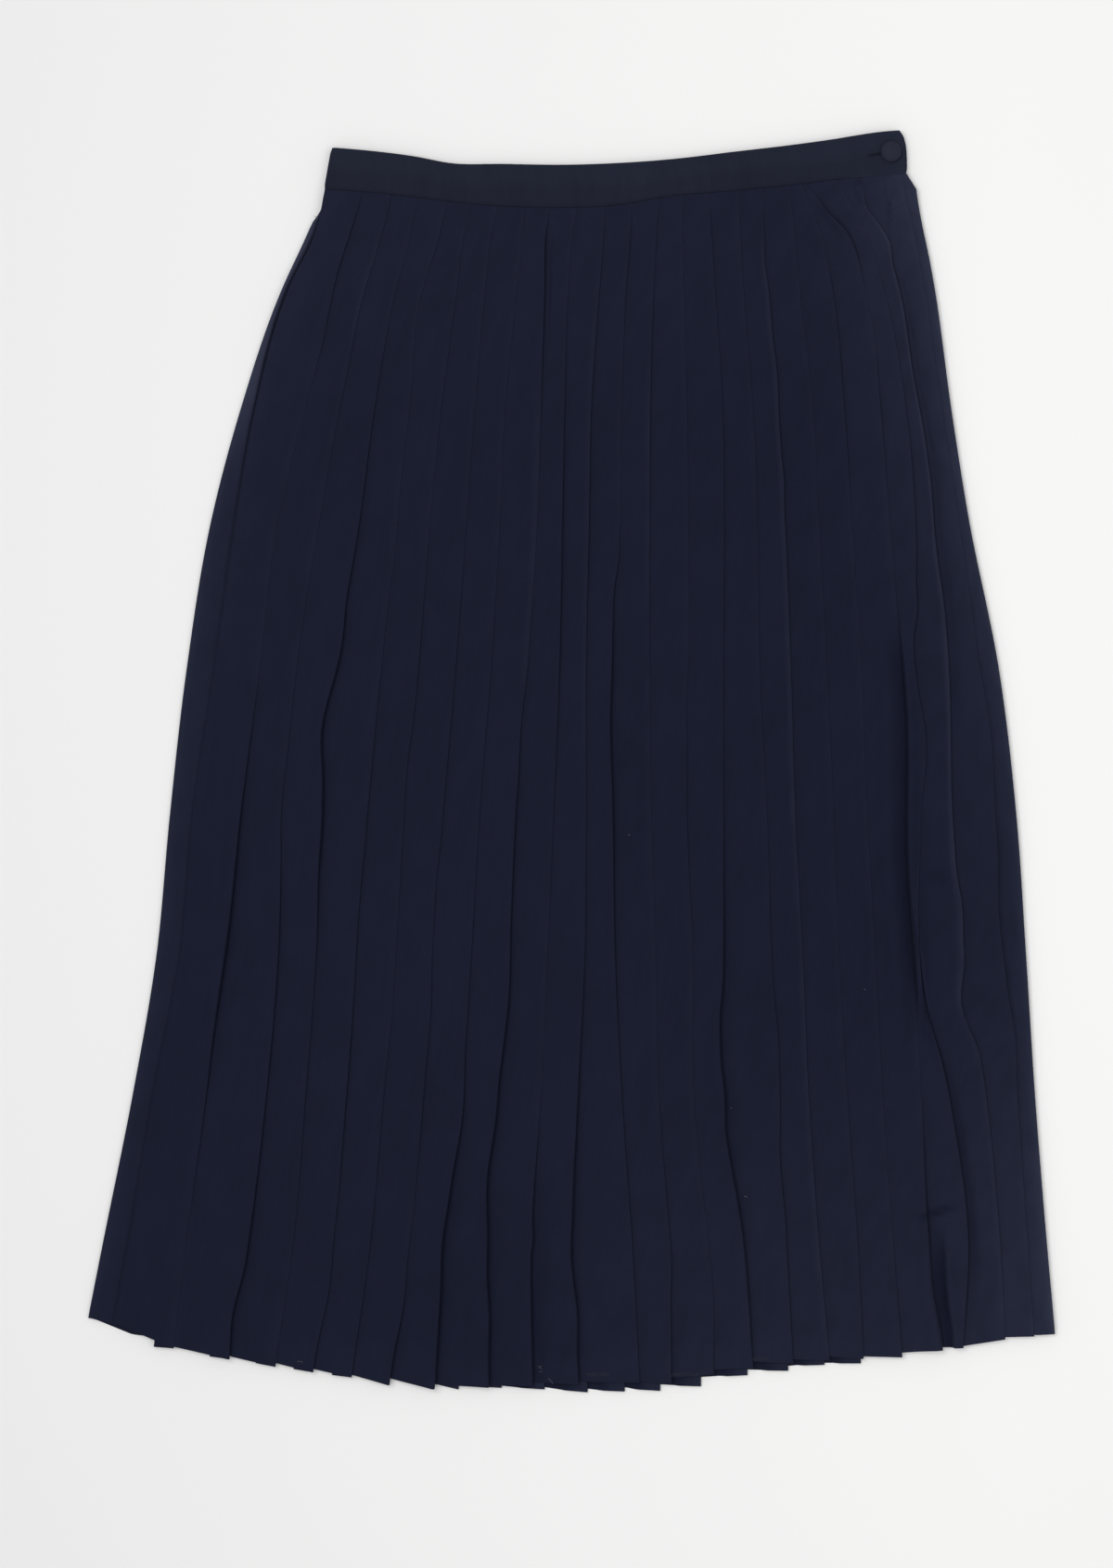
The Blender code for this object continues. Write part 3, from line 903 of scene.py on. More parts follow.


# The paler third colour of each crepe is the colour of its painted highlights
SKIRT_CREPE = Crepe(
    name="skirt_crepe",
    dark=(0.0060, 0.0078, 0.0201),
    light=(0.0078, 0.0098, 0.0243),
    painted_highlight=(0.0266, 0.0304, 0.0550),
)
BAND_CREPE = Crepe(
    name="band_crepe",
    dark=(0.0100, 0.0123, 0.0238),
    light=(0.0128, 0.0155, 0.0288),
    painted_highlight=(0.0266, 0.0304, 0.0550),
)
BUTTON_CREPE = Crepe(
    name="button_crepe",
    dark=(0.0165, 0.0195, 0.0335),
    light=(0.0210, 0.0240, 0.0395),
    painted_highlight=(0.0270, 0.0300, 0.0470),
)
PALE_THREAD = Thread("pale_thread", (0.050, 0.054, 0.080))
LINT = Thread("lint_fibre", (0.075, 0.080, 0.105))


def dress(piece: bpy.types.Object, finish: Any) -> None:
    """Give a piece its finish and let it ride on the skirt's one body.

    Args:
        piece: the piece.
        finish: its material.
    """
    piece.data.materials.append(finish)
    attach(piece, "root")
    LOG.info("%s: %d faces", piece.name, len(piece.data.polygons))


class Strip(NamedTuple):
    """Columns of a panel's grid: places, drops and heights by row and column, and their painted light."""

    x: np.ndarray
    drop: np.ndarray
    height: np.ndarray
    painted_light: np.ndarray


def dense_rows(count: int) -> np.ndarray:
    """Shares from 0 to 1 that lie three times closer together at the waistband, and closer at the hem.

    The rows' density falls off exponentially from both ends, with a bell where a crease crosses the
    front near its hem, and each row stands where the density's running sum reaches its number.

    Args:
        count: how many rows there are.

    Returns:
        The shares, rising.
    """
    fine = np.linspace(0.0, 1.0, 2001)
    density = 1.0 + Fade(2.2, 0.07).at(fine) + Fade(0.8, 0.04).at(1.0 - fine)
    density = density + 1.8 * bell(fine - 0.884, 0.014)
    summed = np.concatenate([[0.0], np.cumsum((density[1:] + density[:-1]) / 2)])
    return np.interp(np.linspace(0.0, summed[-1], count), summed, fine)


@dataclass
class PleatedPanel:
    """What the front and the back panel share: one strip of thin cloth laid in knife pleats."""

    name: str
    cloth: float = 0.15
    underlay: float = 13.5
    least_face: float = 3.4
    tuck: float = 0.9
    hem_fall: float = 0.9
    allowance: float = 12.0
    rows: int = 112
    columns: list = field(default_factory=list)
    grid: Any = None
    flat: tuple = (0.0, 0.0)
    area: float = 0.0

    def _drops(self, x_at_waist: float, hem: float) -> np.ndarray:
        """Drops of one column, from just inside the waistband's seam to the hem."""
        top = float(seam_drop(x_at_waist)) - self.tuck
        return mix(top, hem + self.hem_fall, dense_rows(self.rows))

    def _grid(self) -> Strip:
        """All columns side by side, the cloth's left edge first."""
        parts = [np.stack(column, axis=1) for column in zip(*self.columns)]
        return Strip(*parts)

    def _add(self, x: np.ndarray, drop: np.ndarray, height: np.ndarray, painted_light: Any = 0.0) -> None:
        """Add one column of points, with its own painted highlight and the panel's painted light."""
        self.columns.append((x, drop, height, painted_light + self._painted_light_map(x, drop)))

    def _painted_light_map(self, x: np.ndarray, drop: np.ndarray) -> np.ndarray:
        """How much painted light each point gets: above zero paler, a painted highlight, below zero darker,
        painted shade.
        """
        raise NotImplementedError

    def top_at(self, x: np.ndarray, drop: np.ndarray, reach: float = 2.0) -> np.ndarray:
        """Height of the cloth's top at some places: the highest of its points near each of them.

        Args:
            x: places from left to right.
            drop: places from top to bottom.
            reach: how far from a place its points may lie.

        Returns:
            One height for each place.
        """
        away = np.hypot(self.grid.x.ravel() - x[:, None], self.grid.drop.ravel() - drop[:, None])
        near = away <= np.maximum(reach, away.min(axis=1) + 0.1)[:, None]
        return np.where(near, self.grid.height.ravel(), -1.0).max(axis=1)

    def _finish(self, grid: Strip) -> bpy.types.Object:
        """The sheet of cloth from its grid, with its map, its painted light and its thickness.

        Args:
            grid: the panel's columns side by side.

        Returns:
            The piece.
        """
        points = to_world(grid.x, grid.drop, grid.height)
        piece = new_mesh(self.name, points, grid_faces(*grid.x.shape))
        sharpen_border(piece, *grid.x.shape)
        self.grid = grid
        across = run_lengths(points, 1)
        down = run_lengths(points, 0)
        set_cloth_map(piece, across, down)
        set_share(piece, "painted_light", grid.painted_light)
        self.flat = (float(across[:, -1].max()), float(down[-1].max()))
        edges = np.linalg.norm(np.diff(points, axis=0)[:, :-1], axis=-1)
        widths = np.linalg.norm(np.diff(points, axis=1)[:-1], axis=-1)
        self.area = min(float((edges * widths).sum()), self.flat[0] * self.flat[1])
        thicken(piece, self.cloth)
        return piece


@dataclass
class FrontPanel(PleatedPanel):
    """The front: 22 knife pleats folded to the right, unevenly open, between two side folds."""

    name: str = "front_panel_cloth"
    base: float = 5.1
    ply: float = 0.18
    seam_base: float = 6.15
    seam_ply: float = 0.17
    settle: float = 26.0
    least_height: float = 3.15
    give: float = 0.3
    openness: float = 0.8
    soft_fold: int = 19
    soft_openness: float = 1.2
    sink: float = 0.6
    sink_reach: float = 3.0
    rise_power: float = 2.2
    quiet_shares: tuple = (0.0, 0.07, 0.2, 0.4, 0.62, 0.8, 0.92, 1.0)
    first_busy: int = 18
    busy_steps: int = 17
    # Angles round a fold's rounded edge, each with its share of the edge's painted highlight
    fold_turn: tuple = ((62, 0.9), (34, 0.3), (5, 0.0), (-45, 0.0), (-90, 0.0))
    left_lift: Course = Course((40, 62, 90, 125, 165, 240, 820), (0.0, 0.9, 1.7, 1.6, 0.5, -0.9, -1.1))
    left_reach: float = 8.0
    end_steps: int = 29
    end_climb: float = 4.0
    end_lift: float = 1.2
    end_sink: float = 0.3
    roll_off: float = 14.0
    shoulder: float = 8.0
    shoulder_drop: float = 11.0
    shoulder_depth: float = 60.0
    # Painted highlight on fold edges: strongest where a fold lies shut, fading as it opens, plus the
    # stretches that shine
    pressed: float = 0.05
    shut_lift: float = 0.6
    edge_highlight_share: float = 0.03
    least_shine: float = 0.02
    shine_fade: float = 30.0
    shine_part: Ramp = Ramp(0.8, 1.0)
    furrow_fade: float = 45.0
    # Painted light: painted shade in the troughs of furrows and creases, and painted highlights towards the
    # waistband, the button, the side folds and the hem
    furrow_shade: float = 0.16
    crease_shade: float = 0.4
    band_painted_light: float = 0.08
    near_band: Ramp = Ramp(230.0, 30.0)
    button_painted_light: float = 0.18
    button_x: float = 222.0
    button_reach: float = 15.0
    near_button: Ramp = Ramp(110.0, 30.0)
    right_strength: Course = Course((40, 200, 330, 450, 600, 700, 800), (1.1, 1.0, 0.8, 0.5, 0.5, 0.8, 1.0))
    right_painted_light: float = 0.17
    right_part: Ramp = Ramp(96.0, 16.0)
    right_edge: Fade = Fade(0.4, 14.0)
    right_rim: Fade = Fade(0.5, 3.0)
    left_edge: Fade = Fade(0.14, 18.0)
    above_hip: Ramp = Ramp(540.0, 120.0)
    low_painted_light: float = 0.21
    low_part: Ramp = Ramp(540.0, 840.0)
    right_of_middle: Ramp = Ramp(-120.0, 220.0)
    hem_painted_light: float = 0.05
    hem_edge: Ramp = Ramp(770.0, 784.0)

    def lift(self, number: int, drop: np.ndarray) -> np.ndarray:
        """How far a fold stands open at each drop, from its course down the skirt.

        Args:
            number: the fold's number, counted from the left.
            drop: places from top to bottom.

        Returns:
            The lift at each drop.
        """
        if not 1 <= number <= len(FRONT_LIFTS):
            return np.zeros_like(drop)
        return np.maximum(smooth_line(drop, level_knots(FRONT_FOLDS[number]), FRONT_LIFTS[number - 1]), 0.0)

    def _shut_edge_highlight(self, number: int, drop: np.ndarray) -> np.ndarray:
        """The painted highlight on a fold's pressed edge at each drop: most where it lies shut."""
        return self.pressed * (1.0 - ease(self.lift(number, drop) / self.shut_lift))

    def shine(self, number: int, drop: np.ndarray) -> np.ndarray:
        """How much painted highlight a fold's edge has at each drop: each stretch fades in and out at its
        ends.

        Args:
            number: the fold's number, counted from the left.
            drop: places from top to bottom.

        Returns:
            The shine at each drop.
        """
        total = self.least_shine + self._shut_edge_highlight(number, drop)
        for part in FRONT_SHINES:
            if part.fold == number:
                inside = np.minimum(drop - part.drop, part.end_drop - drop)
                total = total + part.strength * ease(inside / self.shine_fade)
        return total

    def _furrow_heights(self, x: np.ndarray, drop: np.ndarray) -> np.ndarray:
        """Height that the furrows add: a bell across, beside its fold, that fades in and out.

        Args:
            x: places from left to right.
            drop: places from top to bottom.

        Returns:
            The sum of all furrows' heights.
        """
        total = np.zeros(x.shape)
        for furrow in FRONT_FURROWS:
            down = (drop - furrow.drop) / (furrow.end_drop - furrow.drop)
            away = x - front_edge(furrow.fold, drop) - furrow.offset - furrow.shift * down
            reach = np.where(away < 0.0, furrow.left_reach, furrow.right_reach)
            window = ease(np.minimum(drop - furrow.drop, furrow.end_drop - drop) / self.furrow_fade)
            total += furrow.height * window * bell(away, reach)
        return total

    def _heights(self, x: np.ndarray, drop: np.ndarray, plies: Any, lift: Any) -> np.ndarray:
        """Height of a point so many plies up: close together at the seam, settled lower down.

        Beside the left side fold the cloth stands up off the back panel near the top and lies on it
        further down. A soft limit, the logarithm of one more than an exponential, keeps every ply
        above the back panel.

        Args:
            x: places from left to right.
            drop: places from top to bottom.
            plies: how many plies of cloth lie below each point.
            lift: how far the point stands above its ply.

        Returns:
            The heights above the floor.
        """
        settled = ease((drop - seam_drop(x)) / self.settle)
        at_seam = self.seam_base + plies * self.seam_ply
        side = self.left_lift.at(drop) * fade(x - front_edge(0, drop), self.left_reach)
        lying = self.base + plies * self.ply + lift + side
        folds = crease_heights(FRONT_CREASES, x, drop) + self._furrow_heights(x, drop)
        least = self.least_height + plies * self.ply
        above = (mix(at_seam, lying, settled) + folds - least) / self.give
        return least + self.give * np.logaddexp(0.0, above)

    def _add_left_end(self) -> None:
        """The left seam allowance under the panel and the left side fold."""
        first = FRONT_FOLDS[0]
        drop = self._drops(first.places.waist, first.edge_drop)
        # The left side fold's edge gets a painted highlight
        for inward, plies, painted_light in ((self.allowance, 0.0, 0.0), (self.ply / 2, 0.0, 0.0), (0.0, 0.5, 0.4)):
            place = front_edge(0, drop) + inward
            self._add(place, drop, self._heights(place, drop, plies, 0.0), painted_light)

    def _openness(self, number: int) -> float:
        """How much of a fold's lift opens it, where the rest raises it shut."""
        return self.soft_openness if number == self.soft_fold else self.openness

    def _radius(self, number: int, drop: np.ndarray) -> np.ndarray:
        """Half the height of a fold's rounded edge: half a ply, and more where it stands open."""
        return (self.ply + self._openness(number) * self.lift(number, drop)) / 2

    def _face_shares(self, number: int) -> np.ndarray:
        """Shares of a face's width at which its columns lie, closer together on the busy right.

        Args:
            number: the fold's number, counted from the left.

        Returns:
            The shares, rising.
        """
        if number < self.first_busy:
            return np.array(self.quiet_shares)
        return np.sort(np.append(np.linspace(0.0, 1.0, self.busy_steps), (0.02, 0.98)))

    def _add_face(self, number: int) -> None:
        """One visible face, from the fold before it to its own.

        Args:
            number: the fold's number, counted from the left.
        """
        before, fold = FRONT_FOLDS[number - 1], FRONT_FOLDS[number]
        start_plies = 1.0 if number == 1 else 0.0
        for share in self._face_shares(number):
            waist_x = mix(before.places.waist, fold.places.waist, share)
            drop = self._drops(waist_x, mix(before.next_drop, fold.edge_drop, share))
            left, right = front_edge(number - 1, drop), front_edge(number, drop)
            pitch = right - left
            under = np.minimum(self.underlay, pitch - self.least_face)
            place = mix(left, right - self._radius(number, drop), share)
            climb = ease((place - left) / np.maximum(pitch - under, 1.0))
            raised = self.lift(number, drop) * np.clip((place - left) / pitch, 0, 1) ** self.rise_power
            sunk = self.sink * self.lift(number - 1, drop) * fade(place - left, self.sink_reach)
            height = self._heights(place, drop, mix(start_plies, 2.0, climb), raised - sunk)
            # Painted highlight near the fold's edge, and on the first columns the last fold's painted
            # highlight
            painted_light = self.shine(number, drop) * self.shine_part.at(share)
            self._add(place, drop, height, painted_light + self._shut_edge_highlight(number - 1, drop) * (share < self.edge_highlight_share))

    def _add_fold(self, number: int) -> None:
        """The rounded edge at which a face turns under, from its top to its underside.

        Args:
            number: the fold's number, counted from the left.
        """
        fold = FRONT_FOLDS[number]
        drop = self._drops(fold.places.waist, fold.edge_drop)
        right = front_edge(number, drop)
        lift = self.lift(number, drop)
        radius = self._radius(number, drop)
        top = self._heights(right, drop, 2.0, lift)
        bottom = self._heights(right, drop, 1.0, lift * (1.0 - self._openness(number)))
        middle, reach = (top + bottom) / 2, (top - bottom) / 2
        # Painted highlight round the fold's rounded edge, strongest at its top
        for degrees, edge_highlight in self.fold_turn:
            angle = math.radians(degrees)
            place = right - radius * (1 - math.cos(angle))
            self._add(place, drop, middle + reach * math.sin(angle), self.shine(number, drop) * edge_highlight)

    def _add_return(self, number: int) -> None:
        """The cloth that runs back under a face, and the inner fold that ends it.

        Args:
            number: the fold's number, counted from the left.
        """
        fold = FRONT_FOLDS[number]
        drop = self._drops(fold.places.waist - self.ply, fold.next_drop)
        right = front_edge(number, drop)
        under = np.minimum(self.underlay, right - front_edge(number - 1, drop) - self.least_face)
        sunk = self.sink * self.lift(number, drop)
        for inward, plies, share in ((self.ply / 2, 1.0, 0.0), (0.0, 0.5, 0.0), (self.ply / 2, 0.0, 0.1)):
            place = right - under + inward
            self._add(place, drop, self._heights(place, drop, plies, -sunk * share))

    def _add_right_end(self) -> None:
        """The last face, which rolls down towards the right side fold, and the right seam allowance."""
        before, last = FRONT_FOLDS[-2:]
        number = len(FRONT_FOLDS) - 1
        for share in np.linspace(0.0, 1.0, self.end_steps):
            waist_x = mix(before.places.waist, last.places.waist, share)
            drop = self._drops(waist_x, mix(before.next_drop, last.edge_drop, share))
            left, right = front_edge(number - 1, drop), front_edge(number, drop)
            place = mix(left, right - self.ply / 2, share)
            drop = drop + self._shoulder(place, right, drop)
            climb = ease((place - left) / self.end_climb)
            roll = np.clip(1.0 - (right - place) / self.roll_off, 0.0, 1.0) ** 2
            height = self._heights(place, drop, climb, self.end_lift * climb * (1 - roll))
            self._add(place, drop, height - self.end_sink * roll)
        drop = self._drops(last.places.waist, last.edge_drop)
        right = front_edge(number, drop)
        for inward, plies in ((0.0, 0.3), (self.ply / 2, -0.3), (self.allowance / 2, -0.3)):
            place = right - inward
            lowered = drop + self._shoulder(place, right, drop)
            height = self._heights(place, lowered, plies, 0.0) - self.end_sink
            self._add(place, lowered, height)

    def _painted_light_map(self, x: np.ndarray, drop: np.ndarray) -> np.ndarray:
        """Painted light: paler towards the waistband, the button, the side folds and, right of the middle,
        the hem, and darker painted shade in the troughs of furrows and creases.

        Args:
            x: places from left to right.
            drop: places from top to bottom.

        Returns:
            How much painted light each point gets, below zero for painted shade.
        """
        inward = front_edge(len(FRONT_FOLDS) - 1, drop) - x
        top = self.band_painted_light * self.near_band.at(drop)
        by_button = bell(x - self.button_x, self.button_reach) * self.near_button.at(drop)
        top = top + self.button_painted_light * by_button
        right = self.right_painted_light * self.right_part.at(inward) + self.right_edge.at(inward)
        right = self.right_strength.at(drop) * right + self.right_rim.at(inward)
        left = self.left_edge.at(x - front_edge(0, drop)) * self.above_hip.at(drop)
        low = self.low_painted_light * self.low_part.at(drop) * self.right_of_middle.at(x)
        low = low + self.hem_painted_light * self.hem_edge.at(drop - seam_drop(x))
        furrows = self.furrow_shade * np.minimum(self._furrow_heights(x, drop), 0.0)
        creases = self.crease_shade * np.minimum(crease_heights(FRONT_CREASES, x, drop), 0.0)
        return top + right + left + low + furrows + creases

    def _shoulder(self, place: np.ndarray, right: np.ndarray, drop: np.ndarray) -> np.ndarray:
        """How much lower the cloth starts in the notch below the waistband's buttoned end.

        Args:
            place: where the points lie from left to right.
            right: where the right side fold lies beside them.
            drop: places from top to bottom.

        Returns:
            How much lower each point is.
        """
        near_side = ease((place - right) / self.shoulder + 1.0)
        near_seam = 1.0 - ease((drop - seam_drop(right)) / self.shoulder_depth)
        return self.shoulder_drop * near_side * near_seam

    def build(self, below: bpy.types.Object) -> bpy.types.Object:
        """The front panel's cloth, laid on the back panel's.

        Args:
            below: the back panel's cloth, on which the front rests; not used.

        Returns:
            The piece.
        """
        self._add_left_end()
        for number in range(1, len(FRONT_FOLDS) - 1):
            self._add_face(number)
            self._add_fold(number)
            self._add_return(number)
        self._add_right_end()
        piece = self._finish(self._grid())
        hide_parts("front_panel")
        return piece


@dataclass
class BackPanel(PleatedPanel):
    """The back: the same pleats seen from below, with a strip that shows beside the front's left fold."""

    name: str = "back_panel_cloth"
    rows: int = 92
    heights: tuple = (0.3, 1.6, 2.9)
    seam_heights: tuple = (0.5, 1.1, 1.7)
    settle: float = 30.0
    turn_at_waist: float = 12.0
    turn_at_hem: float = 29.0
    first_face: float = 29.0
    last_face: float = 15.0
    climb: float = 5.0
    waist_drop: float = 40.0
    face_gap: float = 0.6
    edge_roll: float = 1.6
    left_turn: tuple = (
        (1.6, 1.97), (0.9, 1.9), (0.35, 1.65), (0.0, 1.0), (0.35, 0.35), (0.9, 0.1), (1.8, 0.0),
    )
    # The third number of each step of a fold or turn is its painted highlight
    pleat_fold: tuple = ((0.6, 2.0, 0.5), (0.0, 1.5, 1.0), (0.6, 1.0, 0.3))
    pleat_return: tuple = ((0.7, 1.0), (0.2, 0.5), (0.7, 0.0))
    right_turn: tuple = ((1.8, 0.0, 0.0), (0.5, 0.2, 0.0), (0.0, 1.0, 0.5), (0.5, 1.8, 0.5), (1.8, 2.0, 0.0))
    notch: float = 2.4
    notch_drop: float = 53.0
    notch_reach: float = 11.0
    groove_depth: Course = Course((45, 75, 110, 170, 300, 600, 820), (0.0, 0.8, 1.0, 1.0, 0.8, 0.4, 0.2))
    groove_out: float = 0.1
    groove_width: float = 1.1
    roll_height: Course = Course((45, 75, 110, 190, 300, 820), (0.0, 1.6, 2.0, 1.4, 0.3, 0.0))
    roll_out: float = 3.4
    roll_width: float = 1.9
    # Painted light: paler painted highlights along the turned strip, its roll and the right side fold
    strip_strength: Course = Course((30, 70, 140, 230, 420, 800), (0.6, 1.0, 1.0, 0.9, 0.7, 0.4))
    strip_edge: Fade = Fade(0.55, 3.5)
    strip_painted_light: float = 0.16
    strip_painted_highlight: float = 0.9
    strip_part: Ramp = Ramp(0.6, 2.1)
    strip_top: Ramp = Ramp(250.0, 130.0)
    right_rim: Fade = Fade(0.7, 3.0)
    right_painted_light: float = 0.2
    right_part: Ramp = Ramp(240.0, 300.0)

    def _side(self, side: Side, drop: np.ndarray) -> np.ndarray:
        """Where a side fold lies at each drop, with the small notch at the top of the left one.

        Args:
            side: the side fold.
            drop: places from top to bottom.

        Returns:
            Its place from left to right at each drop.
        """
        depth = self.notch if side is BACK_LEFT else 0.0
        inward = depth * ease(1.0 - np.abs(drop - self.notch_drop) / self.notch_reach)
        return smooth_line(drop, level_knots(side), side.places) + inward

    def _edge(self, number: int, drop: np.ndarray) -> np.ndarray:
        """Where an inner fold lies: its share of the panel's width moves evenly from waist to hem.

        Args:
            number: the inner fold's number, 0 for the edge of the turned strip.
            drop: places from top to bottom.

        Returns:
            Its place from left to right at each drop.
        """
        left, right = self._side(BACK_LEFT, drop), self._side(BACK_RIGHT, drop)
        down = drop / SKIRT_LENGTH
        if number == 0:
            return left + mix(self.turn_at_waist, self.turn_at_hem, down)
        span = BACK_RIGHT.places.waist - BACK_LEFT.places.waist
        hem_span = BACK_RIGHT.places.hem - BACK_LEFT.places.hem
        first, last = self.first_face / span, 1 - self.last_face / span
        at_waist = mix(first, last, (number - 1) / (len(BACK_FOLDS) - 1))
        at_hem = (BACK_FOLDS[number - 1].hem - BACK_LEFT.places.hem) / hem_span
        return left + (right - left) * mix(at_waist, at_hem, down)

    def _height(self, x: np.ndarray, drop: np.ndarray, plies: Any) -> np.ndarray:
        """Height of a point so many plies up: close together at the seam, settled lower down.

        Args:
            x: places from left to right.
            drop: places from top to bottom.
            plies: how many plies of cloth lie below each point.

        Returns:
            The heights above the floor.
        """
        settled = ease((drop - seam_drop(x)) / self.settle)
        at_seam = np.interp(plies, (0, 1, 2), self.seam_heights)
        lying = np.interp(plies, (0, 1, 2), self.heights)
        above = np.clip(plies - 1.0, 0.0, 1.0)
        return mix(at_seam, lying, settled) - above * self._groove(x, drop)

    def _groove(self, x: np.ndarray, drop: np.ndarray) -> np.ndarray:
        """Depth of the crevice in the turned strip below the front's left side fold, less its roll.

        Args:
            x: places from left to right.
            drop: places from top to bottom.

        Returns:
            The depth at each point.
        """
        away = x - front_edge(0, drop)
        crevice = self.groove_depth.at(drop) * bell(away + self.groove_out, self.groove_width)
        return crevice - self.roll_height.at(drop) * bell(away + self.roll_out, self.roll_width)

    def _painted_light_map(self, x: np.ndarray, drop: np.ndarray) -> np.ndarray:
        """Painted light: a paler painted highlight along the left side fold, most of all where it rolls away
        above the hip, and along the right side fold.

        Args:
            x: places from left to right.
            drop: places from top to bottom.

        Returns:
            How much painted light each point gets.
        """
        edge = self.strip_edge.at(x - self._side(BACK_LEFT, drop)) + self.strip_painted_light
        outside = self.strip_painted_highlight * self.strip_part.at(front_edge(0, drop) - x) * self.strip_top.at(drop)
        right = self.right_rim.at(self._side(BACK_RIGHT, drop) - x) + self.right_painted_light * self.right_part.at(x)
        return self.strip_strength.at(drop) * edge + outside + right

    def _column(self, x_at: Any, waist_x: float, hem: float, plies: float, painted_light: float = 0.0) -> None:
        """Add a column whose place is worked out from its own drops.

        Args:
            x_at: gives the column's places from its drops.
            waist_x: where the column starts at the waistband.
            hem: how low the column ends.
            plies: how many plies of cloth lie below each point.
            painted_light: the painted highlight of the column there.
        """
        drop = self._drops(waist_x, hem)
        place = x_at(drop)
        self._add(place, drop, self._height(place, drop, plies), painted_light)

    def _add_left_end(self) -> None:
        """The strip that turns over the left side fold onto the top of the panel."""
        waist, hem = BACK_LEFT.places.waist, BACK_LEFT.edge_drop
        turned = mix(hem, BACK_FOLDS[0].edge_drop, 0.55)

        def strip(d: np.ndarray, share: float) -> np.ndarray:
            """A place between the side fold's roll and the front's left side fold."""
            start = self._side(BACK_LEFT, d) + self.edge_roll
            return start + np.maximum(front_edge(0, d) - start, 0.3) * share

        for beyond, share in ((0.0, 1.0), (0.5, 0.8)):
            low = mix(hem, turned, share)
            self._column(lambda d: mix(self._edge(0, d), strip(d, 1.0) + 3.0, beyond), waist, low, 2.0)
        for past in (2.0, 1.0):
            self._column(lambda d: strip(d, 1.0) + past, waist, mix(hem, turned, 0.65), 2.0)
        for share in (1.0, 0.9, 0.78, 0.6, 0.4, 0.2):
            self._column(lambda d: strip(d, share), waist, mix(hem, turned, 0.6 * share), 2.0)
        for inward, plies in self.left_turn:
            self._column(lambda d: self._side(BACK_LEFT, d) + inward, waist, hem, plies)

    def _add_pleat(self, number: int) -> None:
        """One face of the underside, the fold that ends it on top, its return and its inner fold.

        Args:
            number: the pleat's number, counted from the left.
        """
        start, fold = BACK_FOLDS[max(number - 2, 0)], BACK_FOLDS[number - 1]
        at_waist = np.array([self.waist_drop])
        waist_left, waist_right = (float(self._edge(side, at_waist)[0]) for side in (number - 1, number))

        def inner(d: np.ndarray) -> np.ndarray:
            """Where the pleat's inner fold lies."""
            pitch = self._edge(number, d) - self._edge(number - 1, d)
            return self._edge(number, d) - np.minimum(self.underlay, pitch - self.least_face - self.climb)

        def face(d: np.ndarray, share: float) -> np.ndarray:
            """A place on the face, between the last pleat's fold and where the cloth starts to climb."""
            return mix(self._edge(number - 1, d) + self.face_gap, inner(d) - self.climb, share)

        for share in (0.0, 0.5, 1.0):
            low = mix(start.next_drop, fold.edge_drop, 0.5 * share)
            self._column(lambda d: face(d, share), mix(waist_left, waist_right, 0.4 * share), low, 0.0)
        for inward, plies in ((self.climb * 0.5, 1.0), (0.4, 2.0)):
            low = mix(start.next_drop, fold.edge_drop, 0.6)
            self._column(lambda d: inner(d) - inward, mix(waist_left, waist_right, 0.6), low, plies)
        for inward, plies, painted_light in self.pleat_fold:
            self._column(lambda d: self._edge(number, d) - inward, waist_right, fold.edge_drop, plies, painted_light)
        for inward, plies in self.pleat_return:
            self._column(lambda d: inner(d) + inward, waist_right, fold.next_drop, plies)

    def _add_right_end(self) -> None:
        """The last face, the right side fold and the allowance turned back on top."""
        count, low = len(BACK_FOLDS), BACK_FOLDS[-1].next_drop
        waist, hem = BACK_RIGHT.places.waist, BACK_RIGHT.edge_drop
        self._column(lambda d: self._edge(count, d) + self.face_gap, waist - self.last_face, low, 0.0)
        for inward, plies, painted_light in (*self.right_turn, (self.allowance, 2.0, 0.0)):
            self._column(lambda d: self._side(BACK_RIGHT, d) - inward, waist, hem, plies, painted_light)

    def build(self) -> bpy.types.Object:
        """The back panel's cloth, on the floor.

        Returns:
            The piece.
        """
        self._add_left_end()
        for number in range(1, len(BACK_FOLDS) + 1):
            self._add_pleat(number)
        self._add_right_end()
        piece = self._finish(self._grid())
        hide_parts("back_panel")
        return piece


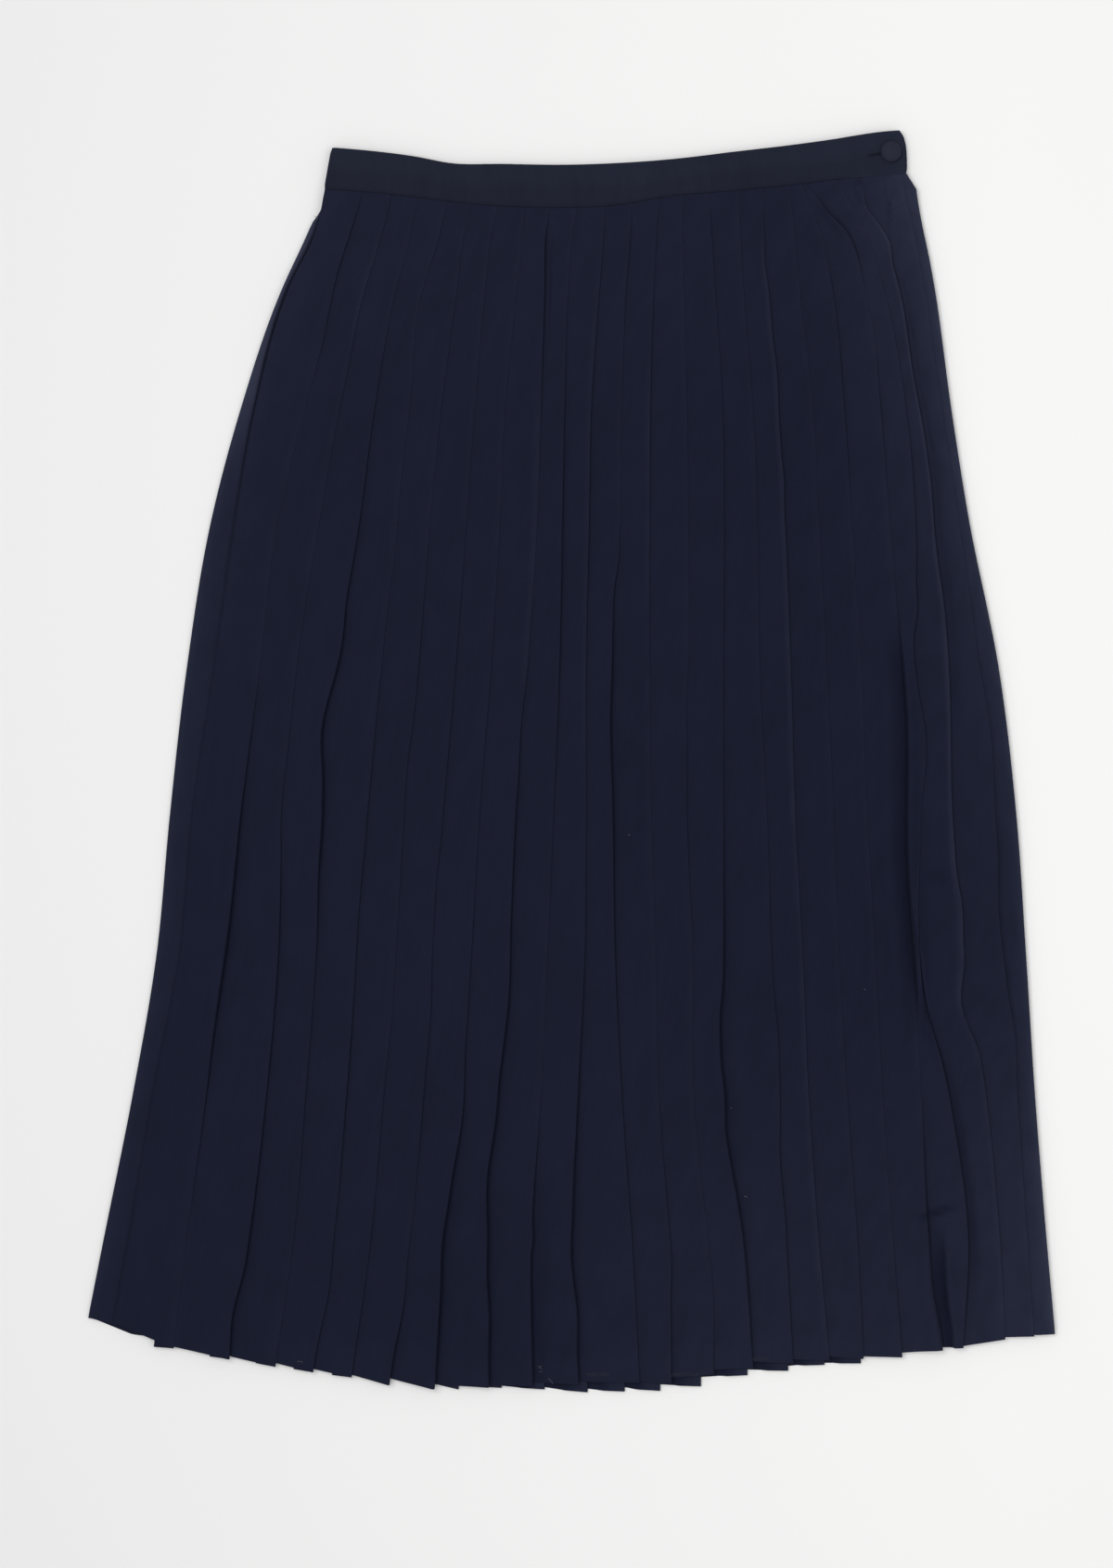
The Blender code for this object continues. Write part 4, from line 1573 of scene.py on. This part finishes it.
@dataclass
class Waistband:
    """The faced band: a loop from the buttoned end over the front, round the back and to the underlap."""

    name: str = "waistband_cloth"
    wall: float = 2.0
    heights: tuple = (1.15, 3.75, 6.4)
    left_at_seam: float = -166.0
    left_at_top: float = -161.0
    right_at_seam: float = 225.5
    right_at_top: float = 221.5
    end_inset: float = 0.5
    underlap: float = 32.0
    step: float = 4.0
    fine_step: float = 0.5
    fine_from: float = 196.0
    lap_steps: int = 9
    edge_wall: float = 0.35
    rise_ends: tuple = (0.0, 0.03, 0.08, 0.15, 0.24)
    rise_step: float = 0.0125
    end_curve: int = 4
    rolled: Fade = Fade(0.3, 1.6)
    # Painted light on the band: highlights on its top edge, upper half, end and right part, shade on its
    # lower half, and shade then highlight in its seam
    top_edge: Fade = Fade(0.25, 0.03)
    seam_reach: float = 0.03
    seam_shade: float = -0.45
    seam_shine: float = 0.2
    seam_shines: Ramp = Ramp(180.0, 196.0)
    upper_painted_light: float = 0.12
    upper_half: Ramp = Ramp(0.3, 0.7)
    end_edge: Fade = Fade(0.3, 5.0)
    right_painted_light: float = 0.1
    right_part: Ramp = Ramp(120.0, 180.0)
    hole: Crease = Crease(197.6, 18.0, 215.0, 14.9, 0.55, -2.4)
    creases: tuple = (
        Crease(138, 26.2, 197, 21.6, 0.8, -0.35),
        Crease(-60, 33, 70, 31, 2.6, 0.12),
        Crease(-150, 22, -90, 30, 2.2, -0.15),
        Crease(60, 38, 150, 31.5, 1.4, -0.15),
        Crease(90, 22, 150, 18, 2.0, 0.15),
        Crease(190, 28, 214, 26, 1.6, 0.2),
        Crease(196, 14.6, 211, 13.4, 0.7, -0.35),
        Crease(188, 20.5, 208, 19.2, 0.9, 0.25),
        Crease(120, 19.5, 200, 12.5, 1.6, 0.3),
        Crease(110, 24.5, 205, 17.5, 1.6, -0.25),
    )

    def _front_places(self) -> np.ndarray:
        """Places along the front from its right end to the left turn, closer together by the button.

        Returns:
            The places, measured from the left end.
        """
        length = self.right_at_seam - self.left_at_seam
        turn = (self.heights[2] - self.heights[0]) / 2
        border = self.fine_from - self.left_at_seam
        fine = np.arange(length - self.end_inset, border, -self.fine_step)
        return np.concatenate([fine, np.linspace(border, turn, int((border - turn) / self.step))])

    def _path(self) -> tuple:
        """The loop's middle line, with its turns as half circles.

        Returns:
            The share of the way across and the height of each of its points.
        """
        back, lap, front = self.heights
        length = self.right_at_seam - self.left_at_seam
        turn = (front - back) / 2
        lap_turn = (lap - back) / 2
        across_front = self._front_places()
        angles = np.radians(np.arange(110, 270, 20))
        left_x, left_z = turn + turn * np.cos(angles), (front + back) / 2 + turn * np.sin(angles)
        across_back = np.linspace(turn, length - lap_turn, int(length / self.step))
        angles = np.radians(np.arange(-65, 90, 25))
        right_x = length - lap_turn + lap_turn * np.cos(angles)
        right_z = (lap + back) / 2 + lap_turn * np.sin(angles)
        across_lap = np.linspace(length - lap_turn, length - self.underlap, self.lap_steps)
        x = np.concatenate([across_front, left_x, across_back, right_x, across_lap])
        levels = [np.full(len(across_front), front), left_z, np.full(len(across_back), back), right_z]
        return x / length, np.concatenate([*levels, np.full(self.lap_steps, lap)])

    def _ring(self) -> tuple:
        """The band's section, round a slim lozenge with rounded edges.

        Returns:
            How far up the band each of its points lies, and how far out of the middle line.
        """
        ends = np.array(self.rise_ends)
        middle = np.arange(0.3, 0.65, self.rise_step)
        rise = np.concatenate([ends, middle, [0.7], 1.0 - ends[::-1]])
        out = self.wall / 2 * np.minimum(1.0, (np.sin(math.pi * rise) * 2.2) ** 0.5)
        out = np.maximum(out, self.edge_wall)
        return np.concatenate([rise, rise[::-1]]), np.concatenate([out, -out[::-1]])

    def _faces(self, count: int, around: int) -> list:
        """Faces of so many sections with so many points each, with a cap of quads at both ends.

        Args:
            count: how many sections there are.
            around: how many points each ring has.

        Returns:
            The corners of each face.
        """
        faces = ring_faces(count, around)[:, [0, 3, 2, 1]].tolist()
        last = (count - 1) * around
        for k in range(around // 2 - 1):
            faces.append((k, around - 1 - k, around - 2 - k, k + 1))
            faces.append((last + k + 1, last + around - 2 - k, last + around - 1 - k, last + k))
        return faces

    def _painted_light_on_band(self, x: np.ndarray, rise: np.ndarray, inward: np.ndarray) -> np.ndarray:
        """Painted light on the band: a painted highlight along its top edge, on its upper half, by its end
        and towards the right, painted shade on its lower half, and in its seam painted shade on the left and
        a painted highlight on the right.

        Args:
            x: places from left to right.
            rise: how far up the band each point lies, as a share.
            inward: how far each point lies from the buttoned end.

        Returns:
            The painted light at each point.
        """
        upper = self.top_edge.at(1.0 - rise) + self.upper_painted_light * (self.upper_half.at(rise) - 0.5)
        seam = mix(self.seam_shade, self.seam_shine, self.seam_shines.at(x)) * fade(rise, self.seam_reach)
        return upper + seam + self.end_edge.at(inward) + self.right_painted_light * self.right_part.at(x)

    def build(self) -> bpy.types.Object:
        """The band as its section carried along the loop, closed at both ends.

        Returns:
            The piece.
        """
        share, height = self._path()
        rise, out = self._ring()
        left = mix(self.left_at_seam, self.left_at_top, rise)[None, :]
        right = mix(self.right_at_seam, self.right_at_top, rise**self.end_curve)[None, :]
        x = left + (right - left) * share[:, None]
        z = np.repeat(height[:, None], len(rise), axis=1)
        tangent_x = np.gradient(x, axis=0)
        tangent_z = np.gradient(z, axis=0)
        size = np.hypot(tangent_x, tangent_z)
        drop = mix(seam_drop(x), top_drop(x), rise[None, :])
        on_front = np.arange(len(share)) < len(self._front_places())
        outer = on_front[:, None] & (out > 0)[None, :]
        pressed = crease_heights((*self.creases, self.hole), x, drop) - self.rolled.at(right - x)
        x_out = x + out[None, :] * tangent_z / size
        z_out = z - out[None, :] * tangent_x / size + np.where(outer, pressed, 0.0)
        points = to_world(x_out, drop, z_out)
        piece = new_mesh(self.name, points, self._faces(*x.shape))
        across = run_lengths(points, 0)
        set_cloth_map(piece, across, (drop - drop.min()) * MM)
        # The band's painted light
        set_share(piece, "painted_light", self._painted_light_on_band(x, rise[None, :], right - x))
        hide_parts("waistband")
        deep = float(np.mean(seam_drop(x) - top_drop(x))) * MM
        return piece


@dataclass
class CoveredButton:
    """The covered button: a low dome drawn tight over its rim, on a thread shank."""

    name: str = "covered_button"
    x: float = 215.3
    drop: float = 15.0
    radius: float = 7.0
    underside: float = 7.7
    rim: float = 1.5
    dome: float = 3.2
    shank: float = 0.5
    foot: float = 5.0
    steps: int = 72
    puckers: int = 9
    pucker_depth: float = 0.006
    pucker_rise: int = 6

    def _profile(self) -> tuple:
        """The button's outline from its top to its foot.

        Returns:
            The distance from the axis and the height above the floor of each of its points.
        """
        angles = np.radians((6, 14, 24, 34, 46, 58, 70, 80, 88))
        dome_r = self.radius * np.sin(angles)
        dome_z = self.underside + self.rim + self.dome * np.cos(angles)
        under_r = self.radius * np.array([0.995, 0.975, 0.9, 0.7, 0.3])
        under_z = self.underside + self.rim * np.array([0.75, 0.4, 0.08, 0.0, 0.0])
        r = np.concatenate([dome_r, under_r, [self.shank, self.shank]])
        return r, np.concatenate([dome_z, under_z, [self.underside, self.foot]])

    def _faces(self, rings: int) -> list:
        """Faces of the rings, and a fan of triangles to the top and to the foot.

        Args:
            rings: how many rings of points there are.

        Returns:
            The corners of each face.
        """
        this = np.arange(self.steps)
        following = (this + 1) % self.steps
        top, end = rings * self.steps, (rings - 1) * self.steps
        top_fan = np.stack([np.full(self.steps, top), this, following], axis=1)
        foot_fan = np.stack([np.full(self.steps, top + 1), end + following, end + this], axis=1)
        return [*ring_faces(rings, self.steps).tolist(), *top_fan.tolist(), *foot_fan.tolist()]

    def build(self) -> bpy.types.Object:
        """The button as its profile turned round its axis, with puckers where the cloth is gathered.

        Returns:
            The piece.
        """
        r, z = self._profile()
        turn = np.arange(self.steps) * 2 * math.pi / self.steps
        pull = 1.0 + self.pucker_depth * np.sin(self.puckers * turn)
        radius = r[:, None] * mix(1.0, pull, (r[:, None] / self.radius) ** self.pucker_rise)
        x = np.append(self.x + radius * np.cos(turn), (self.x, self.x))
        drop = np.append(self.drop - radius * np.sin(turn), (self.drop, self.drop))
        height = np.append(np.repeat(z, self.steps), (self.underside + self.rim + self.dome, self.foot))
        points = to_world(x, drop, height)
        piece = new_mesh(self.name, points, self._faces(len(r)))
        set_cloth_map(piece, points[:, 0], points[:, 1])
        set_share(piece, "painted_light", np.zeros(len(points)))
        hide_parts("button")
        return piece


class Fibre(NamedTuple):
    """A loose fibre or thread end on the cloth, from one point to another, bowed sideways."""

    x: float
    drop: float
    end_x: float
    end_drop: float
    bow: float
    width: float


FIBRES = (
    Fibre(38.3, 474.6, 39.2, 475.5, 0.2, 0.5),
    Fibre(197.2, 578.6, 197.9, 579.4, 0.1, 0.5),
    Fibre(107.2, 658.6, 108.0, 659.2, 0.2, 0.45),
    Fibre(116.2, 718.4, 118.6, 719.3, 0.4, 0.4),
    Fibre(-228.0, 415.2, -227.2, 416.0, 0.2, 0.4),
    Fibre(-23.6, 833.0, -20.2, 835.4, 1.0, 0.3),
    Fibre(-19.8, 832.6, -22.8, 836.8, -1.0, 0.28),
    Fibre(-22.4, 836.6, -18.2, 838.2, 0.7, 0.26),
    Fibre(-15.6, 841.0, -12.4, 845.0, 0.4, 0.34),
    Fibre(-184.6, 829.6, -181.0, 830.4, 0.5, 0.35),
    Fibre(-172.8, 58.2, -171.2, 60.2, 0.4, 0.4),
)


class HemStitch(NamedTuple):
    """A run of zigzag stitches that shows near the hem."""

    x: float
    drop: float
    end_x: float
    end_drop: float


HEM_STITCHES = (
    HemStitch(10.8, 838.6, 25.0, 838.4),
    HemStitch(66.5, 838.2, 85.5, 838.4),
    HemStitch(122.5, 828.0, 133.0, 827.4),
)


@dataclass
class Trimmings:
    """Pale stitches that show at the hem, and the fibres that lie on the cloth."""

    pitch: float = 1.8
    swing: float = 2.3
    stitch_width: float = 0.24
    stitch_rise: float = 0.7
    fibre_points: int = 9
    fibre_rise: float = 0.6

    def _join(self, name: str, lines: Sequence[tuple]) -> bpy.types.Object:
        """One mesh of many threads, each a line of points and its width in millimetres.

        Args:
            name: the piece's name.
            lines: the points in metres and the width of each thread.

        Returns:
            The piece.
        """
        points, faces, count = [], [], 0
        for line, width in lines:
            ring_points, ring_faces = tube(line, width * MM / 2)
            faces += [tuple(count + corner for corner in face) for face in ring_faces]
            points.append(ring_points)
            count += len(ring_points)
        return new_mesh(name, np.concatenate(points), faces)

    def _stitches(self, cloth: PleatedPanel) -> bpy.types.Object:
        """The zigzags: each corner swings to the other side of the run's line.

        Args:
            cloth: the panel on which they lie.

        Returns:
            The piece.
        """
        lines = []
        for run in HEM_STITCHES:
            count = int((run.end_x - run.x) / self.pitch * 2)
            share = np.linspace(0.0, 1.0, count)
            side = np.where(np.arange(count) % 2, 0.5, -0.5)
            x = mix(run.x, run.end_x, share)
            drop = mix(run.drop, run.end_drop, share) + self.swing * side
            height = cloth.top_at(x, drop) + self.stitch_width * self.stitch_rise
            lines.append((to_world(x, drop, height), self.stitch_width))
        return self._join("hem_stitches", lines)

    def _fibres(self, cloth: PleatedPanel) -> bpy.types.Object:
        """The fibres, each bowed off its straight line by a parabola.

        Args:
            cloth: the panel on which they lie.

        Returns:
            The piece.
        """
        share = np.linspace(0.0, 1.0, self.fibre_points)
        lines = []
        for fibre in FIBRES:
            off = fibre.bow * 4 * share * (1 - share)
            run_x, run_drop = fibre.end_x - fibre.x, fibre.end_drop - fibre.drop
            length = math.hypot(run_x, run_drop)
            x = mix(fibre.x, fibre.end_x, share) + off * run_drop / length
            drop = mix(fibre.drop, fibre.end_drop, share) - off * run_x / length
            height = cloth.top_at(x, drop) + fibre.width * self.fibre_rise
            lines.append((to_world(x, drop, height), fibre.width))
        return self._join("loose_fibres", lines)

    def build(self, cloth: PleatedPanel) -> tuple:
        """Both pieces, laid on the cloth."""
        return self._stitches(cloth), self._fibres(cloth)


class Lamp(NamedTuple):
    """A square soft light: where it hangs, how wide it is and its power in watts."""

    name: str
    place: tuple
    size: float
    power: float


@dataclass
class Studio:
    """The pale floor, the soft lights and the camera straight above."""

    floor_half: float = 2.5
    frame_height: float = 1056.25
    centre_x: float = -10.0
    centre_y: float = -15.6
    distance: float = 2600.0
    sensor: float = 36.0
    plane: float = 6.0
    far: float = 50.0
    lamps: tuple = (Lamp("softbox", (-0.95, 0.35, 3.2), 1.9, 57.0), Lamp("fill", (1.5, -0.4, 2.5), 1.6, 13.0))
    lamp_tint: tuple = (1.0, 0.995, 0.985)
    sky_tint: tuple = (0.985, 0.985, 1.0)
    sky_strength: float = 0.50

    def _floor(self) -> None:
        """The floor, just under the skirt."""
        half = self.floor_half
        corners = np.array([(-half, -half, 0.0), (half, -half, 0.0), (half, half, 0.0), (-half, half, 0.0)])
        floor = new_mesh("floor", corners, [(0, 1, 2, 3)])
        floor.data.materials.append(PaleFloor().build())

    def _light(self, lamp: Lamp) -> None:
        """One soft light aimed at the skirt's middle.

        Args:
            lamp: where it hangs, its size and its power.
        """
        data = bpy.data.lights.new(lamp.name, "AREA")
        data.shape = "SQUARE"
        data.size = lamp.size
        data.energy = lamp.power
        data.color = self.lamp_tint
        light = bpy.data.objects.new(lamp.name, data)
        light.location = lamp.place
        away = np.array(lamp.place) / np.linalg.norm(lamp.place)
        light.rotation_euler = (math.acos(away[2]), 0.0, math.atan2(away[0], -away[1]))
        bpy.context.scene.collection.objects.link(light)

    def _camera(self) -> None:
        """The camera, with a frame as high as the photograph's at the skirt's height."""
        data = bpy.data.cameras.new("overhead")
        data.sensor_fit = "VERTICAL"
        data.sensor_height = self.sensor
        data.lens = self.sensor * self.distance / self.frame_height
        data.clip_end = self.far
        camera = bpy.data.objects.new("overhead", data)
        camera.location = (self.centre_x * MM, self.centre_y * MM, (self.distance + self.plane) * MM)
        bpy.context.scene.collection.objects.link(camera)
        bpy.context.scene.camera = camera

    def _sky(self) -> None:
        """The even pale light from all round."""
        world = bpy.data.worlds.new("studio")
        world.use_nodes = True
        background = world.node_tree.nodes["Background"]
        background.inputs["Color"].default_value = rgba(self.sky_tint)
        background.inputs["Strength"].default_value = self.sky_strength
        bpy.context.scene.world = world

    def build(self) -> None:
        """Set up the floor, the camera and the lights."""
        self._floor()
        self._camera()
        for lamp in self.lamps:
            self._light(lamp)
        self._sky()
        bpy.context.scene.view_settings.view_transform = "Standard"


def main() -> None:
    """Build the skirt's pieces in the order in which they lie, then the studio round them."""
    logging.basicConfig(level=logging.INFO, format="%(message)s")
    Studio().build()
    skirt_crepe = SKIRT_CREPE.build()
    back = BackPanel().build()
    dress(back, skirt_crepe)
    front_panel = FrontPanel()
    front = front_panel.build(back)
    dress(front, skirt_crepe)
    band = Waistband().build()
    dress(band, BAND_CREPE.build())
    button = CoveredButton().build()
    dress(button, BUTTON_CREPE.build())
    stitches, fibres = Trimmings().build(front_panel)
    dress(stitches, PALE_THREAD.build())
    dress(fibres, LINT.build())


if __name__ == "__main__":
    main()
